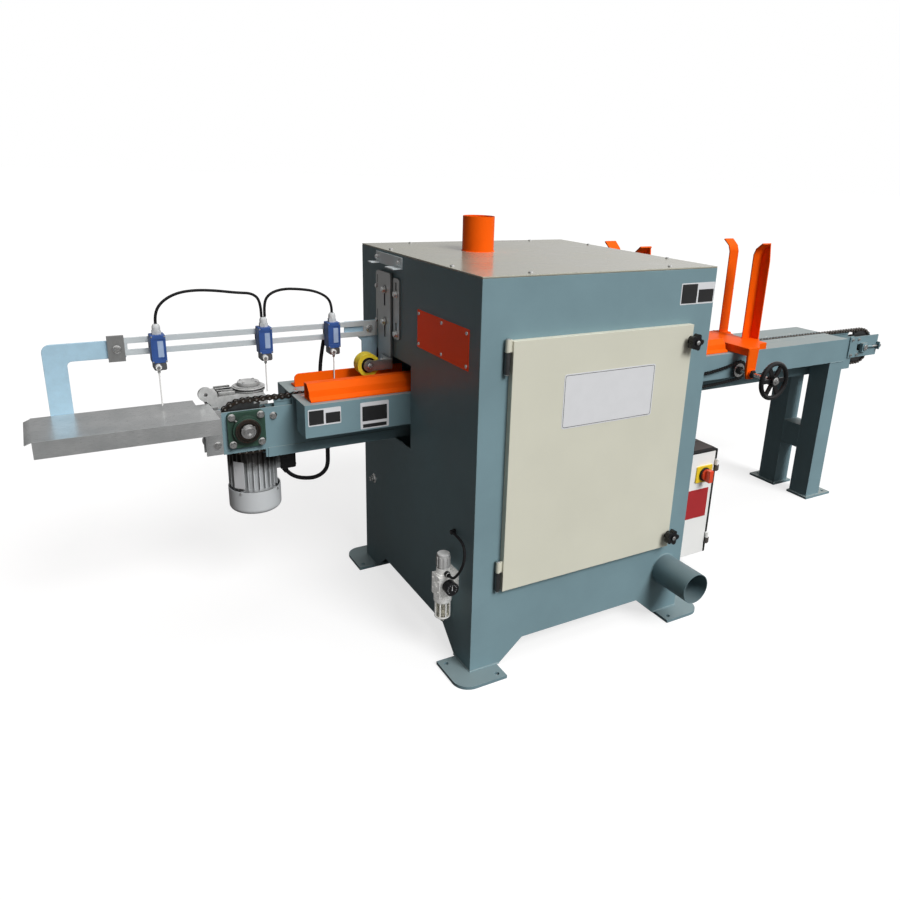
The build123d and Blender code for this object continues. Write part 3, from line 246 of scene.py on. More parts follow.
def plastic(name, colour, rough=0.42, grain=700.0, lift=0.12, coat=0.0, vary=0.12, spec=0.4):
    mat, tree, shader = new_material(name)
    place = coords(tree)
    cloud = noise(tree, place, 30.0, 4.0)
    tone = tones(tree, cloud, colour, ((0.3, 1 - vary), (0.7, 1 + vary)))
    matt = span(tree, cloud, 0.3, 0.7, rough - 0.06, rough + 0.06)
    feed(tree, shader, Base_Color=tone, Roughness=matt, Coat_Weight=coat, Specular_IOR_Level=spec)
    bump(tree, shader, noise(tree, place, grain, 2.0), lift, 0.0004)
    return mat


def clear(name, colour, rough=0.08):
    mat, tree, shader = new_material(name)
    cloud = noise(tree, coords(tree), 60.0, 3.0)
    tone = tones(tree, cloud, colour, ((0.3, 0.93), (0.7, 1.0)))
    matt = span(tree, cloud, 0.3, 0.7, rough, rough + 0.08)
    feed(tree, shader, Base_Color=tone, Roughness=matt, Transmission_Weight=0.85, IOR=1.45)
    return mat


def blue(name, share, dust_and_sheen):
    """The machine's blue-grey paint, its colour times share, with that much dust and painted warm sheen on
    its upper faces; a share below one gives a darker copy that is painted shade.
    """
    return paint(name, shade((0.196, 0.302, 0.338), share), 0.42, dirt=0.08, spec=0.22,
                 worn=(0.31, 0.40, 0.43), dust_and_sheen=dust_and_sheen)


def motor_paint(name, oil_and_shadow=None):
    """The motor's grey paint, with oil and a painted shadow from the channel above, which set in between two
    heights in metres.
    """
    return paint(name, (0.64, 0.665, 0.68), 0.36, dirt=0.1, grime_and_shade=0.5, oil_and_shadow=oil_and_shadow)


BLUE = blue("blue_grey_paint", 1.0, 0.50)
# The foot plates and the front dust pipe have the machine's blue paint made darker: painted shade.
SHADED_FOOT = blue("foot_paint_shaded", 0.88, 0.22)
SHADED_PIPE = blue("pipe_paint_shaded", 0.66, 0.12)
LID = paint("lid_paint", (0.362, 0.355, 0.284), 0.20, coat=0.3, lumps=0.04, grain=500.0)
DOOR = paint("door_paint", (0.685, 0.680, 0.570), 0.50, grain=1500.0, lumps=0.025, spec=0.30)
ORANGE = paint("orange_paint", (0.97, 0.118, 0.003), 0.42, lumps=0.05, dirt=0.10, spec=0.10,
               worn=(0.95, 0.26, 0.05))
WHITE = paint("white_paint", (0.90, 0.90, 0.88), 0.48, grain=1300.0, lumps=0.02)
BOX_GREY = paint("box_grey", (0.085, 0.072, 0.068), 0.30, coat=0.2, lumps=0.05)
GREEN = paint("green_casting", (0.026, 0.066, 0.045), 0.40, grain=260.0, lumps=0.25, dirt=0.4,
              worn=(0.10, 0.15, 0.12), grime_and_shade=0.7)
# The red side plate glows faintly: painted light.
RED_PLATE = paint("plate_red", (0.90, 0.075, 0.020), 0.45, lumps=0.08, spec=0.10, glow=0.09)
GREY = motor_paint("motor_grey")
# The motor's top is darkened for oil and for a painted shadow under the channel.
OILY_SHADED_GREY = motor_paint("oily_shaded_grey", (0.488, 0.522))
ZINC = metal("zinc_sheet", (0.80, 0.83, 0.83), 0.30, 26.0, 0.36, 0.80, (2.0, 40.0, 40.0), stain=(0.70, 0.68))
PLATED = metal("zinc_plate", (0.49, 0.72, 0.87), 0.46, 45.0, 0.08, 0.30)
RAIL = metal("zinc_rail", (0.72, 0.78, 0.80), 0.38, 26.0, 0.08, 0.35, (1.5, 40.0, 40.0))
STEEL = metal("worked_steel", (0.52, 0.525, 0.52), 0.34, 30.0, 0.22, 0.95, (40.0, 40.0, 3.0), grime_and_shade=0.6)
DARK = metal("dark_steel", (0.11, 0.112, 0.115), 0.42, 90.0, 0.3, 0.9)
OILED = metal("oiled_chain", (0.085, 0.072, 0.062), 0.38, 180.0, 0.4, 0.9,
              rust=(0.10, 0.050, 0.028), grime_and_shade=0.9)
ROLLER = metal("chain_rollers", (0.46, 0.44, 0.41), 0.26, 160.0, 0.3, 0.95)
BLACKED = metal("blackened_chain", (0.040, 0.040, 0.040), 0.40, 180.0, 0.4, 0.8)
BRIGHT = metal("bright_steel", (0.70, 0.70, 0.69), 0.24, 120.0, 0.12)
CAST = metal("cast_aluminium", (0.86, 0.88, 0.86), 0.44, 60.0, 0.30, 0.45, lift=0.25,
             grime_and_shade=0.95, stain=(0.60, 0.60))
BLACK = plastic("black_plastic", (0.010, 0.010, 0.011), 0.28, spec=0.35)
RUBBER = plastic("black_rubber", (0.014, 0.014, 0.014), 0.55, spec=0.3)
CABLE = plastic("cable_black", (0.008, 0.008, 0.009), 0.50, 400.0, 0.2, spec=0.3)
SWITCH = plastic("switch_blue", (0.040, 0.095, 0.30), 0.36)
SWITCH_PALE = plastic("switch_pale", (0.34, 0.44, 0.62), 0.40)
SWITCH_DARK = metal("switch_head", (0.20, 0.205, 0.22), 0.42, 200.0, 0.2, 0.8)
GLAND = plastic("gland_grey", (0.58, 0.60, 0.61), 0.40)
ROD = plastic("lever_rod", (0.82, 0.82, 0.80), 0.30, vary=0.03)
YELLOW = plastic("yellow_tyre", (0.90, 0.70, 0.045), 0.42)
# The regulator's silver glows faintly: painted light.
SILVER = metal("air_silver", (0.93, 0.93, 0.90), 0.26, 150.0, 0.10, 0.25, grime_and_shade=0.35, glow=0.15)
KNOB_GREY = plastic("air_grey", (0.60, 0.605, 0.60), 0.42)
GLASS = clear("clear_bowl", (0.72, 0.70, 0.62))
RED = plastic("red_plastic", (0.72, 0.060, 0.020), 0.30, coat=0.2)
SIGNAL = plastic("signal_yellow", (0.86, 0.60, 0.03), 0.36)
LABEL = plastic("label_white", (0.74, 0.75, 0.77), 0.36, lift=0.03, vary=0.015)
LABEL_DARK = plastic("label_dark", (0.022, 0.022, 0.023), 0.36, lift=0.03, vary=0.05)
LABEL_RED = plastic("label_red", (0.42, 0.028, 0.032), 0.36, lift=0.03, vary=0.04)

# Looks by material slot, and those of nodes with a look of their own
LOOKS = {
    "blue_grey_paint": BLUE, "lid_paint": LID, "door_paint": DOOR, "orange_paint": ORANGE,
    "zinc_sheet": ZINC, "dark_steel": DARK, "bright_steel": BRIGHT, "green_casting": GREEN,
    "cast_aluminium": CAST, "black_plastic": BLACK, "grey_plastic": KNOB_GREY, "cable_black": CABLE,
    "switch_blue": SWITCH, "yellow_rubber": YELLOW, "air_silver": SILVER, "clear_bowl": GLASS,
    "white_paint": WHITE, "red_plastic": RED,
}
OWN = {
    "rail_brackets": PLATED, "sensor_rail": RAIL, "fan_cover": GREY, "drive_motor": OILY_SHADED_GREY,
    "electrical_box": BOX_GREY, "rail_clamp": STEEL, "press_slide": STEEL, "pressure_gauge": BLACK,
    "foot_plates": SHADED_FOOT, "front_dust_pipe": SHADED_PIPE, "take_up": BLUE, "door_hinges": DARK,
    "lever_1": ROD, "lever_2": ROD, "lever_3": ROD,
}
for entry in frame["record"]["subparts"]:
    look = OWN.get(entry["node"], LOOKS[entry["material_slot"]])
    data = nodes[entry["node"]].data
    data.materials.clear()
    data.materials.append(look)


# Shapes
def add_object(name, data):
    obj = bpy.data.objects.new(name, data)
    bpy.context.scene.collection.objects.link(obj)
    return obj


def soften(obj, width, angle=40.0):
    mod = obj.modifiers.new("edges", "BEVEL")
    mod.width = width / 1000
    mod.segments = 2
    mod.limit_method = "ANGLE"
    mod.angle_limit = math.radians(angle)
    mod.use_clamp_overlap = True


def round_node(name, width):
    """Rounds a construction piece's edges: welds its faces, joins flat triangles, bevels, evens normals."""
    obj = nodes[name]
    weld = obj.modifiers.new("weld", "WELD")
    weld.merge_threshold = 1e-6
    flat = obj.modifiers.new("flat", "DECIMATE")
    flat.decimate_type = "DISSOLVE"
    flat.angle_limit = math.radians(0.5)
    soften(obj, width, 32.0)
    even = obj.modifiers.new("normals", "WEIGHTED_NORMAL")
    even.weight = 80
    even.keep_sharp = False


ROUND = {
    "cabinet": 1.8, "lid": 1.5, "door": 1.6, "front_beam": 1.9, "rear_beam": 1.9, "stand": 1.9,
    "foot_plates": 1.5, "chain_channel": 0.6, "outfeed_tray": 0.8, "rail_brackets": 1.2, "sensor_rail": 1.2,
    "rail_clamp": 1.2, "press_slide": 1.0, "front_guides": 1.0, "rear_guide": 1.2, "hopper_frames": 1.2,
    "hopper_arm_far": 1.2, "gearbox": 1.5, "flange_bearing": 1.2, "terminal_box": 1.5, "electrical_box": 0.8,
    "electrical_door": 0.8, "regulator_body": 1.2, "take_up": 0.8, "main_switch": 2.0,
}
for name, width in ROUND.items():
    round_node(name, width)


def piece(name, bm, body="frame", slot="bright_steel", look=None, bevel=0.0, smooth=35.0):
    """Makes a mesh into a visible piece on a body, with the look of its slot or one of its own."""
    mesh = bpy.data.meshes.new(name)
    bmesh.ops.recalc_face_normals(bm, faces=bm.faces)
    bm.to_mesh(mesh)
    bm.free()
    mesh.materials.append(look or LOOKS[slot])
    mesh.shade_smooth()
    mesh.set_sharp_from_angle(angle=math.radians(smooth))
    obj = add_object(name, mesh)
    if bevel:
        soften(obj, bevel)
    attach(obj, body)
    return obj


def axes(direction):
    """Two directions across the given one, and that one itself, each of length one."""
    w = Vector(direction).normalized()
    side = Vector((0, 0, 1)) if abs(w.z) < 0.9 else Vector((1, 0, 0))
    u = side.cross(w).normalized()
    return u, w.cross(u), w


def polar(r, degrees):
    turn = math.radians(degrees)
    return r * math.cos(turn), r * math.sin(turn)


def circle(r, steps):
    return [polar(r, 360 * n / steps) for n in range(steps)]


def ring(bm, points, at, direction, h):
    """New corners at the points of an outline across direction, h along it from at, in millimetres."""
    u, v, w = axes(direction)
    return [bm.verts.new(Vector(at) / 1000 + (u * a + v * b + w * h) / 1000) for a, b in points]


def join(bm, rings):
    """Faces from each ring of corners to the next."""
    for one, two in zip(rings, rings[1:]):
        for n in range(len(one)):
            m = (n + 1) % len(one)
            bm.faces.new((one[n], one[m], two[m], two[n]))


def lathe(bm, at, direction, profile, steps):
    """Turns a profile of (radius, height) points, in millimetres, about a line through at."""
    rings = [ring(bm, circle(r, steps) if r else [(0, 0)], at, direction, h) for r, h in profile]
    for low, high in zip(rings, rings[1:]):
        if len(low) == len(high):
            join(bm, (low, high))
            continue
        for n in range(steps):
            m = (n + 1) % steps
            bm.faces.new((low[0], high[n], high[m]) if len(low) == 1 else (low[n], low[m], high[0]))


def prism(bm, points, at, direction, low, high):
    """A closed outline in the plane across direction, drawn from low to high along it, in millimetres."""
    rings = [ring(bm, points, at, direction, h) for h in (low, high)]
    bm.faces.new(rings[0])
    bm.faces.new(rings[1])
    join(bm, rings)


def band(bm, outer, inner, at, direction, low, high):
    """A flat ring between two outlines with the same number of points."""
    corners = ((outer, low), (outer, high), (inner, high), (inner, low))
    rings = [ring(bm, points, at, direction, h) for points, h in corners]
    join(bm, rings + rings[:1])


def pierced(bm, outline, holes, at, direction, low, high):
    """A plate of that outline with holes through it, drawn from low to high along direction."""
    rims = []
    for points in [outline] + holes:
        rim = ring(bm, points, at, direction, low)
        rims += [bm.edges.new((p, q)) for p, q in zip(rim, rim[1:] + rim[:1])]
    w = axes(direction)[2]
    filled = bmesh.ops.triangle_fill(bm, edges=rims, use_beauty=True, use_dissolve=False, normal=w)
    faces = [g for g in filled["geom"] if isinstance(g, bmesh.types.BMFace)]
    drawn = bmesh.ops.extrude_face_region(bm, geom=faces, use_keep_orig=True)
    moved = [g for g in drawn["geom"] if isinstance(g, bmesh.types.BMVert)]
    bmesh.ops.translate(bm, vec=w * (high - low) / 1000, verts=moved)


def slab(bm, x0, x1, y0, y1, z0, z1):
    corners = [Vector((x, y, z)) / 1000 for x in (x0, x1) for y in (y0, y1) for z in (z0, z1)]
    v = [bm.verts.new(c) for c in corners]
    for face in ((0, 1, 3, 2), (4, 6, 7, 5), (0, 4, 5, 1), (2, 3, 7, 6), (0, 2, 6, 4), (1, 5, 7, 3)):
        bm.faces.new([v[n] for n in face])


def rounded(w, h, r, steps=5):
    """The outline of a rectangle with round corners."""
    points = []
    for cx, cy, start in ((1, 1, 0), (-1, 1, 90), (-1, -1, 180), (1, -1, 270)):
        for n in range(steps + 1):
            a, b = polar(r, start + 90 * n / steps)
            points.append((cx * (w / 2 - r) + a, cy * (h / 2 - r) + b))
    return points


def four(a, b):
    """Two distances with every pair of signs."""
    return [(x, y) for x in (-a, a) for y in (-b, b)]


def stud(r, edge, top_r, top):
    """The profile of a round head with a bevelled top."""
    return [(0, 0), (r, 0), (r, edge), (top_r, top), (0, top)]


def hex_bolt(bm, at, direction, wide, high, washer=True):
    """Hex head with a turned top, on a washer, seated on the face at that point."""
    base = 0.0
    r = wide / 2 / math.cos(math.pi / 6)
    if washer:
        rim = [(0, 0), (r * 1.12, 0), (r * 1.18, 0.4), (r * 1.18, 1.6), (r * 1.10, 2.0), (0, 2.0)]
        lathe(bm, at, direction, rim, 24)
        base = 2.0
    prism(bm, circle(r, 6), at, direction, base, base + high * 0.82)
    shoulder, top = base + high * 0.8, base + high
    lathe(bm, at, direction, [(0, shoulder), (wide * 0.49, shoulder), (wide * 0.44, top), (0, top)], 24)


def button_screw(bm, at, direction, r, high):
    """Low domed head with a sunk hexagon."""
    dome = [(0, 0), (r, 0), (r, high * 0.3), (r * 0.86, high * 0.75), (r * 0.6, high), (r * 0.42, high)]
    lathe(bm, at, direction, dome + [(r * 0.40, high * 0.45), (0, high * 0.4)], 18)


def bolts(name, spots, direction, wide=13.0, high=6.0, body="frame", washer=True):
    bm = bmesh.new()
    for at in spots:
        hex_bolt(bm, at, direction, wide, high, washer)
    piece(name, bm, body)


def screws(name, spots, direction, r, high):
    bm = bmesh.new()
    for at in spots:
        button_screw(bm, at, direction, r, high)
    piece(name, bm)


def sheet(name, at, direction, wide, tall, thick, corner, body, slot, look, bevel=0.2):
    """A thin plate with round corners on a face, its middle at that point."""
    bm = bmesh.new()
    prism(bm, rounded(wide, tall, corner), at, direction, 0.0, thick)
    piece(name, bm, body, slot, look, bevel)


def turned(name, at, direction, profile, steps, body="frame", slot="bright_steel", look=None):
    """A piece that is one turned shape."""
    bm = bmesh.new()
    lathe(bm, at, direction, profile, steps)
    piece(name, bm, body, slot, look)


# Camera
eye = bpy.data.cameras.new("camera")
camera = add_object("camera", eye)
camera.matrix_world = Matrix((
    (0.864261, 0.130023, -0.485950, -1.349095),
    (-0.501778, 0.291310, -0.814467, -2.038491),
    (0.035663, 0.947751, 0.317011, 1.419191),
    (0, 0, 0, 1)))
FOCAL_PX, CENTRE_X, CENTRE_Y, FRAME_PX = 768.51, 487.46, 420.18, 900
eye.sensor_width = 36.0
eye.lens = FOCAL_PX / FRAME_PX * eye.sensor_width
eye.shift_x = 0.5 - CENTRE_X / FRAME_PX
eye.shift_y = CENTRE_Y / FRAME_PX - 0.5
eye.clip_end = 200
bpy.context.scene.camera = camera


# Cords, on or near their routes in the construction
def cord(name, points, radius):
    """A round cord that these control points shape, with the length that its own line has."""
    curve = bpy.data.curves.new(name, "CURVE")
    curve.dimensions = "3D"
    curve.bevel_depth = radius / 1000
    curve.bevel_resolution = 5
    curve.resolution_u = 10
    curve.use_fill_caps = True
    line = curve.splines.new("NURBS")
    line.points.add(len(points) - 1)
    for spot, p in zip(line.points, points):
        spot.co = (p[0] / 1000, p[1] / 1000, p[2] / 1000, 1)
    line.order_u = 3
    line.use_endpoint_u = True
    curve.materials.append(CABLE)
    obj = add_object(name, curve)
    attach(obj, "frame")
    bare = curve.copy()
    bare.bevel_depth = 0
    probe = add_object("probe", bare)
    bpy.context.view_layer.update()
    mesh = bpy.data.meshes.new_from_object(probe.evaluated_get(bpy.context.evaluated_depsgraph_get()))
    bpy.data.objects.remove(probe)
    bpy.data.meshes.remove(mesh)
    bpy.data.curves.remove(bare)
    return obj


# The cables start and end this far off the faces that they meet.
SEAT = 0.3
x1, x2, x3 = SWITCH_X
CABLE_Z, DROP_Y = 965 + SEAT, 279.3
first_way = [
    (x1, CABLE_Z), (x1, 993), (x1 + 20, 1025), (x1 + 60, 1047), (x1 + 110, 1053), (x1 + 166, 1049),
    (x1 + 222, 1040), (x2 - 24, 1036), (x2 - 4, 1008), (x2 - 5, CABLE_Z)]
second_way = [
    (x2 + 5, CABLE_Z), (x2 + 4, 1006), (x2 + 22, 1033), (x2 + 62, 1045), (x2 + 112, 1042), (x3 - 52, 1034),
    (x3 - 14, 1015), (x3, 989), (x3, CABLE_Z)]
first_cable = cord("switch_cable_1", [(x, SWITCH_Y, z) for x, z in first_way], 4.0)
cord("switch_cable_2", [(x, SWITCH_Y, z) for x, z in second_way], 4.0)
cord("switch_cable_3", [
    (x3, 253.6, RAIL_Z), (x3, 266, RAIL_Z), (x3 - 2, 288, 889), (x3 - 6, 301, 867), (x3 - 11, 301, 841),
    (x3 - 20, 294, 805), (x3 - 27, 283, 775), (x3 - 28, DROP_Y, 760), (x3 - 28, DROP_Y, DECK + SEAT)], 6.0)
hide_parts("switch_cables")

CABLE_X, CABLE_END_X, CABLE_END_Z = -729.5, -621.0, 562.0
BOX_Z = MOTOR_TOP - 98
cable_steps = [
    (0, 0, -10 - SEAT), (5.6, -3.4, -22.6), (24.4, -15.7, -38.9), (45.3, -30.3, -44.0), (67.8, -50.1, -40.7),
    (82.5, -64.8, -33.9), (95.8, -82.5, -19.8), (106.1, -100.2, 2.4), (108.4, -111.5, 27.3)]
cable_points = [(CABLE_X + a, MOTOR_Y + b, BOX_Z + c) for a, b, c in cable_steps]
cable_points += [(CABLE_END_X, LINE, BOX_Z + 48.8), (CABLE_END_X, LINE, CABLE_END_Z - SEAT)]
motor_cable = cord("motor_cable_line", cable_points, 6.5)
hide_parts("motor_cable")

AIR_X, AIR_Y, WALL_Z, INLET_Z = -436.0, -290.0, 415.0, 299.0
air_line = cord("air_tube_line", [
    (-409, -298, WALL_Z), (-411, -338, 417), (-415, -374, 408), (-422, -391, 379), (-430, -386, 345),
    (AIR_X, -368, 317), (AIR_X, -346, INLET_Z), (AIR_X, -324.3, INLET_Z)], 4.0)
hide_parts("air_tube")

bm = bmesh.new()
gland = (CABLE_X, MOTOR_Y, BOX_Z - 10)
lathe(bm, gland, DOWN, [(0, -3), (11.5, -3), (11.5, 1), (10, 3), (0, 3)], 16)
lathe(bm, gland, (5.6, -3.4, -12.3), stud(9.6, 4, 7.2, 17), 16)
piece("motor_cable_relief", bm, "frame", "black_plastic")
bm = bmesh.new()
lathe(bm, (CABLE_END_X, LINE, CABLE_END_Z), DOWN, [(0, 0), (12, 0), (12, 3), (9, 5), (8, 9), (0, 9)], 20)
lathe(bm, (x3 - 28, DROP_Y, DECK), UP, [(0, 0), (11, 0), (11, 2.5), (8.5, 4), (7.5, 8), (0, 8)], 20)
piece("cable_grommets", bm, "frame", "black_plastic", RUBBER)
bm = bmesh.new()
lathe(bm, (-HX, AIR_Y, WALL_Z), LEFT, [(0, 0), (8.6, 0), (8.6, 6), (7, 7), (7, 14), (6, 15), (0, 15)], 6)
lathe(bm, (AIR_X, -312, INLET_Z), FRONT, [(0, 0), (9, 0), (9, 7), (7.5, 8), (6.5, 14), (0, 14)], 12)
piece("air_fittings", bm, "frame", "black_plastic")


# Chains
def link_plate(bm, a, b, y0, y1, r, waist):
    """One link plate between two pins in the XZ plane: round ends and a drawn-in middle."""
    a, b = Vector(a), Vector(b)
    along = (b - a).normalized()
    across = Vector((-along.y, along.x))
    outline = []
    for pin, start, side in ((a, 90, -1), (b, -90, 1)):
        for n in range(5):
            u, v = polar(r, start + 45 * n)
            outline.append(pin + along * u + across * v)
        outline.append((a + b) / 2 + across * side * waist)
    prism(bm, outline, (0, 0, 0), FRONT, -y0, -y1)


def chain(plates, rollers, pins, y, roller_r, roller_half, thick, plate_r, waist, pin_r):
    """A closed roller chain: inner and outer plates in turn, a roller and a pin at every point."""
    inner = roller_half + 0.15
    outer = inner + thick + 0.2
    end = outer + thick + 1.2
    for k, a in enumerate(pins):
        b = pins[(k + 1) % len(pins)]
        near = inner if k % 2 else outer
        for y0 in (y + near, y - near - thick):
            link_plate(plates, a, b, y0, y0 + thick, plate_r, waist)
        tube = [(0, 0), (roller_r, 0), (roller_r, 2 * roller_half), (0, 2 * roller_half)]
        lathe(rollers, (a[0], y - roller_half, a[1]), BACK, tube, 10)
        full = 2 * end
        rivet = [(0, 0), (pin_r * 0.8, 0), (pin_r, 0.5), (pin_r, full - 0.5), (pin_r * 0.8, full), (0, full)]
        lathe(rollers, (a[0], y - end, a[1]), BACK, rivet, 8)


def half_round(x, side):
    """Pins round half a sprocket at x: down its outer side from the top for 1, up from the bottom for -1."""
    return [(x + side * b, SHAFT_Z + side * a) for a, b in circle(PITCH_R, TEETH)[:TEETH // 2]]


pins = [(DRIVE_X + k * PITCH, CHAIN_Z) for k in range(STRAND)] + half_round(IDLER_X, 1)
pins += [(IDLER_X - k * PITCH, RETURN_Z) for k in range(STRAND)] + half_round(DRIVE_X, -1)
plates, rollers = bmesh.new(), bmesh.new()
chain(plates, rollers, pins, LINE, 5.9, 5.7, 1.7, 7.4, 4.2, 3.0)
feed_chain = piece("feed_chain", plates, "frame", "dark_steel", OILED)
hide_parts("drive_chain")
piece("feed_chain_rollers", rollers, "frame", "bright_steel", ROLLER)

ADJUST_R, ADJUST_Y, SAG_UPPER, SAG_LOWER, ADJUST_LINKS = 35.0, 4.0, 33.0, 13.0, 98
STRAND_STEPS, TURN_STEPS = 48, 24
slack = []
strands = ((FAR_SCREW_X, NEAR_SCREW_X, 1, SAG_UPPER), (NEAR_SCREW_X, FAR_SCREW_X, -1, SAG_LOWER))
for start, end, side, sag in strands:
    for n in range(STRAND_STEPS):
        t = n / STRAND_STEPS
        slack.append((start + (end - start) * t, side * ADJUST_R - sag * 4 * t * (1 - t)))
    for n in range(TURN_STEPS):
        a, b = polar(ADJUST_R, side * 90 - 180 * n / TURN_STEPS)
        slack.append((end + a, b))


def spaced(points, count):
    """Points at even steps along a closed line."""
    runs = [math.dist(a, b) for a, b in zip(points, points[1:] + points[:1])]
    step = sum(runs) / count
    placed, gone, k = [], 0.0, 0
    for n in range(count):
        while gone + runs[k] < n * step:
            gone += runs[k]
            k += 1
        t = (n * step - gone) / runs[k]
        a, b = points[k], points[(k + 1) % len(points)]
        placed.append((a[0] + (b[0] - a[0]) * t, a[1] + (b[1] - a[1]) * t))
    return placed


plates, rollers = bmesh.new(), bmesh.new()
linking_pins = [(x, SCREW_Z + z) for x, z in spaced(slack, ADJUST_LINKS)]
chain(plates, rollers, linking_pins, ADJUST_Y, 4.2, 1.2, 0.7, 6.4, 4.2, 2.2)
linking_chain = piece("linking_chain", plates, "frame", "dark_steel", BLACKED)
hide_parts("adjust_chain")
piece("linking_chain_rollers", rollers, "frame", "dark_steel")


def toothed(bm, at, direction, root, tip, teeth, low, high):
    """A plain sprocket disc."""
    outline = []
    for n in range(teeth):
        for share, r in ((-0.30, root), (-0.12, tip), (0.12, tip), (0.30, root)):
            outline.append(polar(r, 360 * (n + share) / teeth))
    prism(bm, outline, at, direction, low, high)


for side, x, body in (("near", NEAR_SCREW_X, "hand_screw"), ("far", FAR_SCREW_X, "screw_far")):
    bm = bmesh.new()
    toothed(bm, (x, ADJUST_Y, SCREW_Z), BACK, 30.6, 37.0, 17, -1.0, 1.0)
    lathe(bm, (x, 1, SCREW_Z), FRONT, stud(16, 7, 15, 8), 24)
    piece(f"{side}_screw_sprocket", bm, body, "dark_steel", BLACKED)

# Drive end: bearing, gear unit and motor
bearing_corners = [(DRIVE_X + dx, CHAN_Y0 - 13, SHAFT_Z + dz) for dx, dz in four(41.5, 41.5)]
bolts("bearing_bolts", bearing_corners, FRONT, 16.0, 8.0)
bm = bmesh.new()
shield = [(21.2, -1), (30.8, -1), (30.8, 1), (28, 1.6), (21.2, 0.4), (21.2, -1)]
lathe(bm, (DRIVE_X, CHAN_Y0 - 27, SHAFT_Z), FRONT, shield, 40)
insert = [(36.4, -4), (36.6, 0.2), (35.8, 0.6), (31.6, 0.6), (31.2, 0.2), (31.2, -4), (36.4, -4)]
lathe(bm, (DRIVE_X, CHAN_Y0 - 30, SHAFT_Z), FRONT, insert, 40)
piece("bearing_shield", bm, "frame", "dark_steel", OILED)
bm = bmesh.new()
collar = [(15.2, 0), (21.4, 0), (21.4, 5), (20.4, 6.2), (15.2, 6.2), (15.2, 0)]
lathe(bm, (DRIVE_X, CHAN_Y0 - 31.2, SHAFT_Z), FRONT, collar, 40)
for turn in (35, 155):
    u, v = polar(1, turn)
    grub_at = (DRIVE_X + 21 * u, CHAN_Y0 - 34.5, SHAFT_Z + 21 * v)
    lathe(bm, grub_at, (u, 0, v), [(0, 0), (2.2, 0), (2.2, 1.4), (0, 1.0)], 8)
lathe(bm, (DRIVE_X - 29.5, CHAN_Y0 - 18, SHAFT_Z + 29.5), (-1, 0, 1),
      [(0, 0), (3.6, 0), (3.6, 4), (2, 5), (2, 8), (3, 9.5), (2, 11), (0, 11.5)], 10)
piece("bearing_collar", bm)
face = [(0, 0.1), (2.6, 0.1), (4.2, 1.0), (13.4, 1.0), (15.04, -0.6), (15.04, -3), (0, -3)]
turned("shaft_end", (DRIVE_X, CHAN_Y0 - 46, SHAFT_Z), FRONT, face, 32, "drive")

GEAR_Y0, GEAR_Y1 = 215.0, 323.0
gear_arms = [(DRIVE_X - 88, GEAR_Y0, SHAFT_Z - 54), (DRIVE_X + 88, GEAR_Y0, SHAFT_Z - 54)]
bolts("gear_arm_bolts", gear_arms, FRONT, 16.0, 7.0)
bm = bmesh.new()
for n in range(5):
    z = SHAFT_Z - 58 + 26 * n
    slab(bm, DRIVE_X - 85, DRIVE_X - 77, GEAR_Y0 + 16, GEAR_Y1 - 14, z, z + 5)
for n in range(4):
    y = GEAR_Y0 + 14 + 24 * n
    slab(bm, DRIVE_X - 52, DRIVE_X - 4, y, y + 5, SHAFT_Z + 76, SHAFT_Z + 88)
cover_ring = [(50, -1), (58, -1), (58, 4), (55, 6), (50, 6), (50, -1)]
lathe(bm, (DRIVE_X, GEAR_Y1 - 6, SHAFT_Z), BACK, cover_ring, 40)
for z in (78, 86):
    lathe(bm, (MOTOR_X, MOTOR_Y, SHAFT_Z + z), UP, [(43, 0), (49, 0.6), (49, 3.4), (43, 4), (43, 0)], 40)
piece("gear_ribs", bm, "frame", "cast_aluminium", CAST, 0.8)
bm = bmesh.new()
for turn in range(0, 360, 60):
    dx, dz = polar(42, turn)
    button_screw(bm, (DRIVE_X + dx, GEAR_Y1, SHAFT_Z + dz), BACK, 4.5, 4.0)
for dx, dz in ((-62, 40), (-62, -52), (66, -52)):
    hex_bolt(bm, (DRIVE_X + dx, GEAR_Y1 - 6, SHAFT_Z + dz), BACK, 13.0, 5.0)
CORNERS = range(45, 360, 90)
for turn in CORNERS:
    dx, dy = polar(27, turn)
    button_screw(bm, (MOTOR_X + dx, MOTOR_Y + dy, SHAFT_Z + 103), UP, 3.6, 3.0)
    dx, dy = polar(71, turn)
    hex_bolt(bm, (MOTOR_X + dx, MOTOR_Y + dy, MOTOR_TOP + 12), UP, 10.0, 5.0)
hex_bolt(bm, (DRIVE_X - 78, GEAR_Y0 + 60, SHAFT_Z + 56), LEFT, 14.0, 6.0)
piece("gear_screws", bm)

out = (*polar(1, 223), 0)
plate_at = (MOTOR_X + 77.4 * out[0], MOTOR_Y + 77.4 * out[1], MOTOR_TOP - 90)
sheet("motor_plate", plate_at, out, 36, 88, 1.2, 2.0, "frame", "bright_steel", LABEL)
bm = bmesh.new()
for turn in CORNERS:
    u, v = polar(1, turn)
    button_screw(bm, (MOTOR_X + 80 * u, MOTOR_Y + 80 * v, MOTOR_TOP - 152), (u, v, 0), 4.0, 2.6)
COVER_X, COVER_Z = -705.5, BOX_Z + 41
for dy, dz in four(33, 30):
    button_screw(bm, (COVER_X + 3, MOTOR_Y + dy, COVER_Z + dz), RIGHT, 3.6, 2.6)
piece("motor_screws", bm)
sheet("terminal_lid", (COVER_X, MOTOR_Y, COVER_Z), RIGHT, 82, 80, 3.0, 7.0,
      "frame", "black_plastic", BLACK, 0.8)

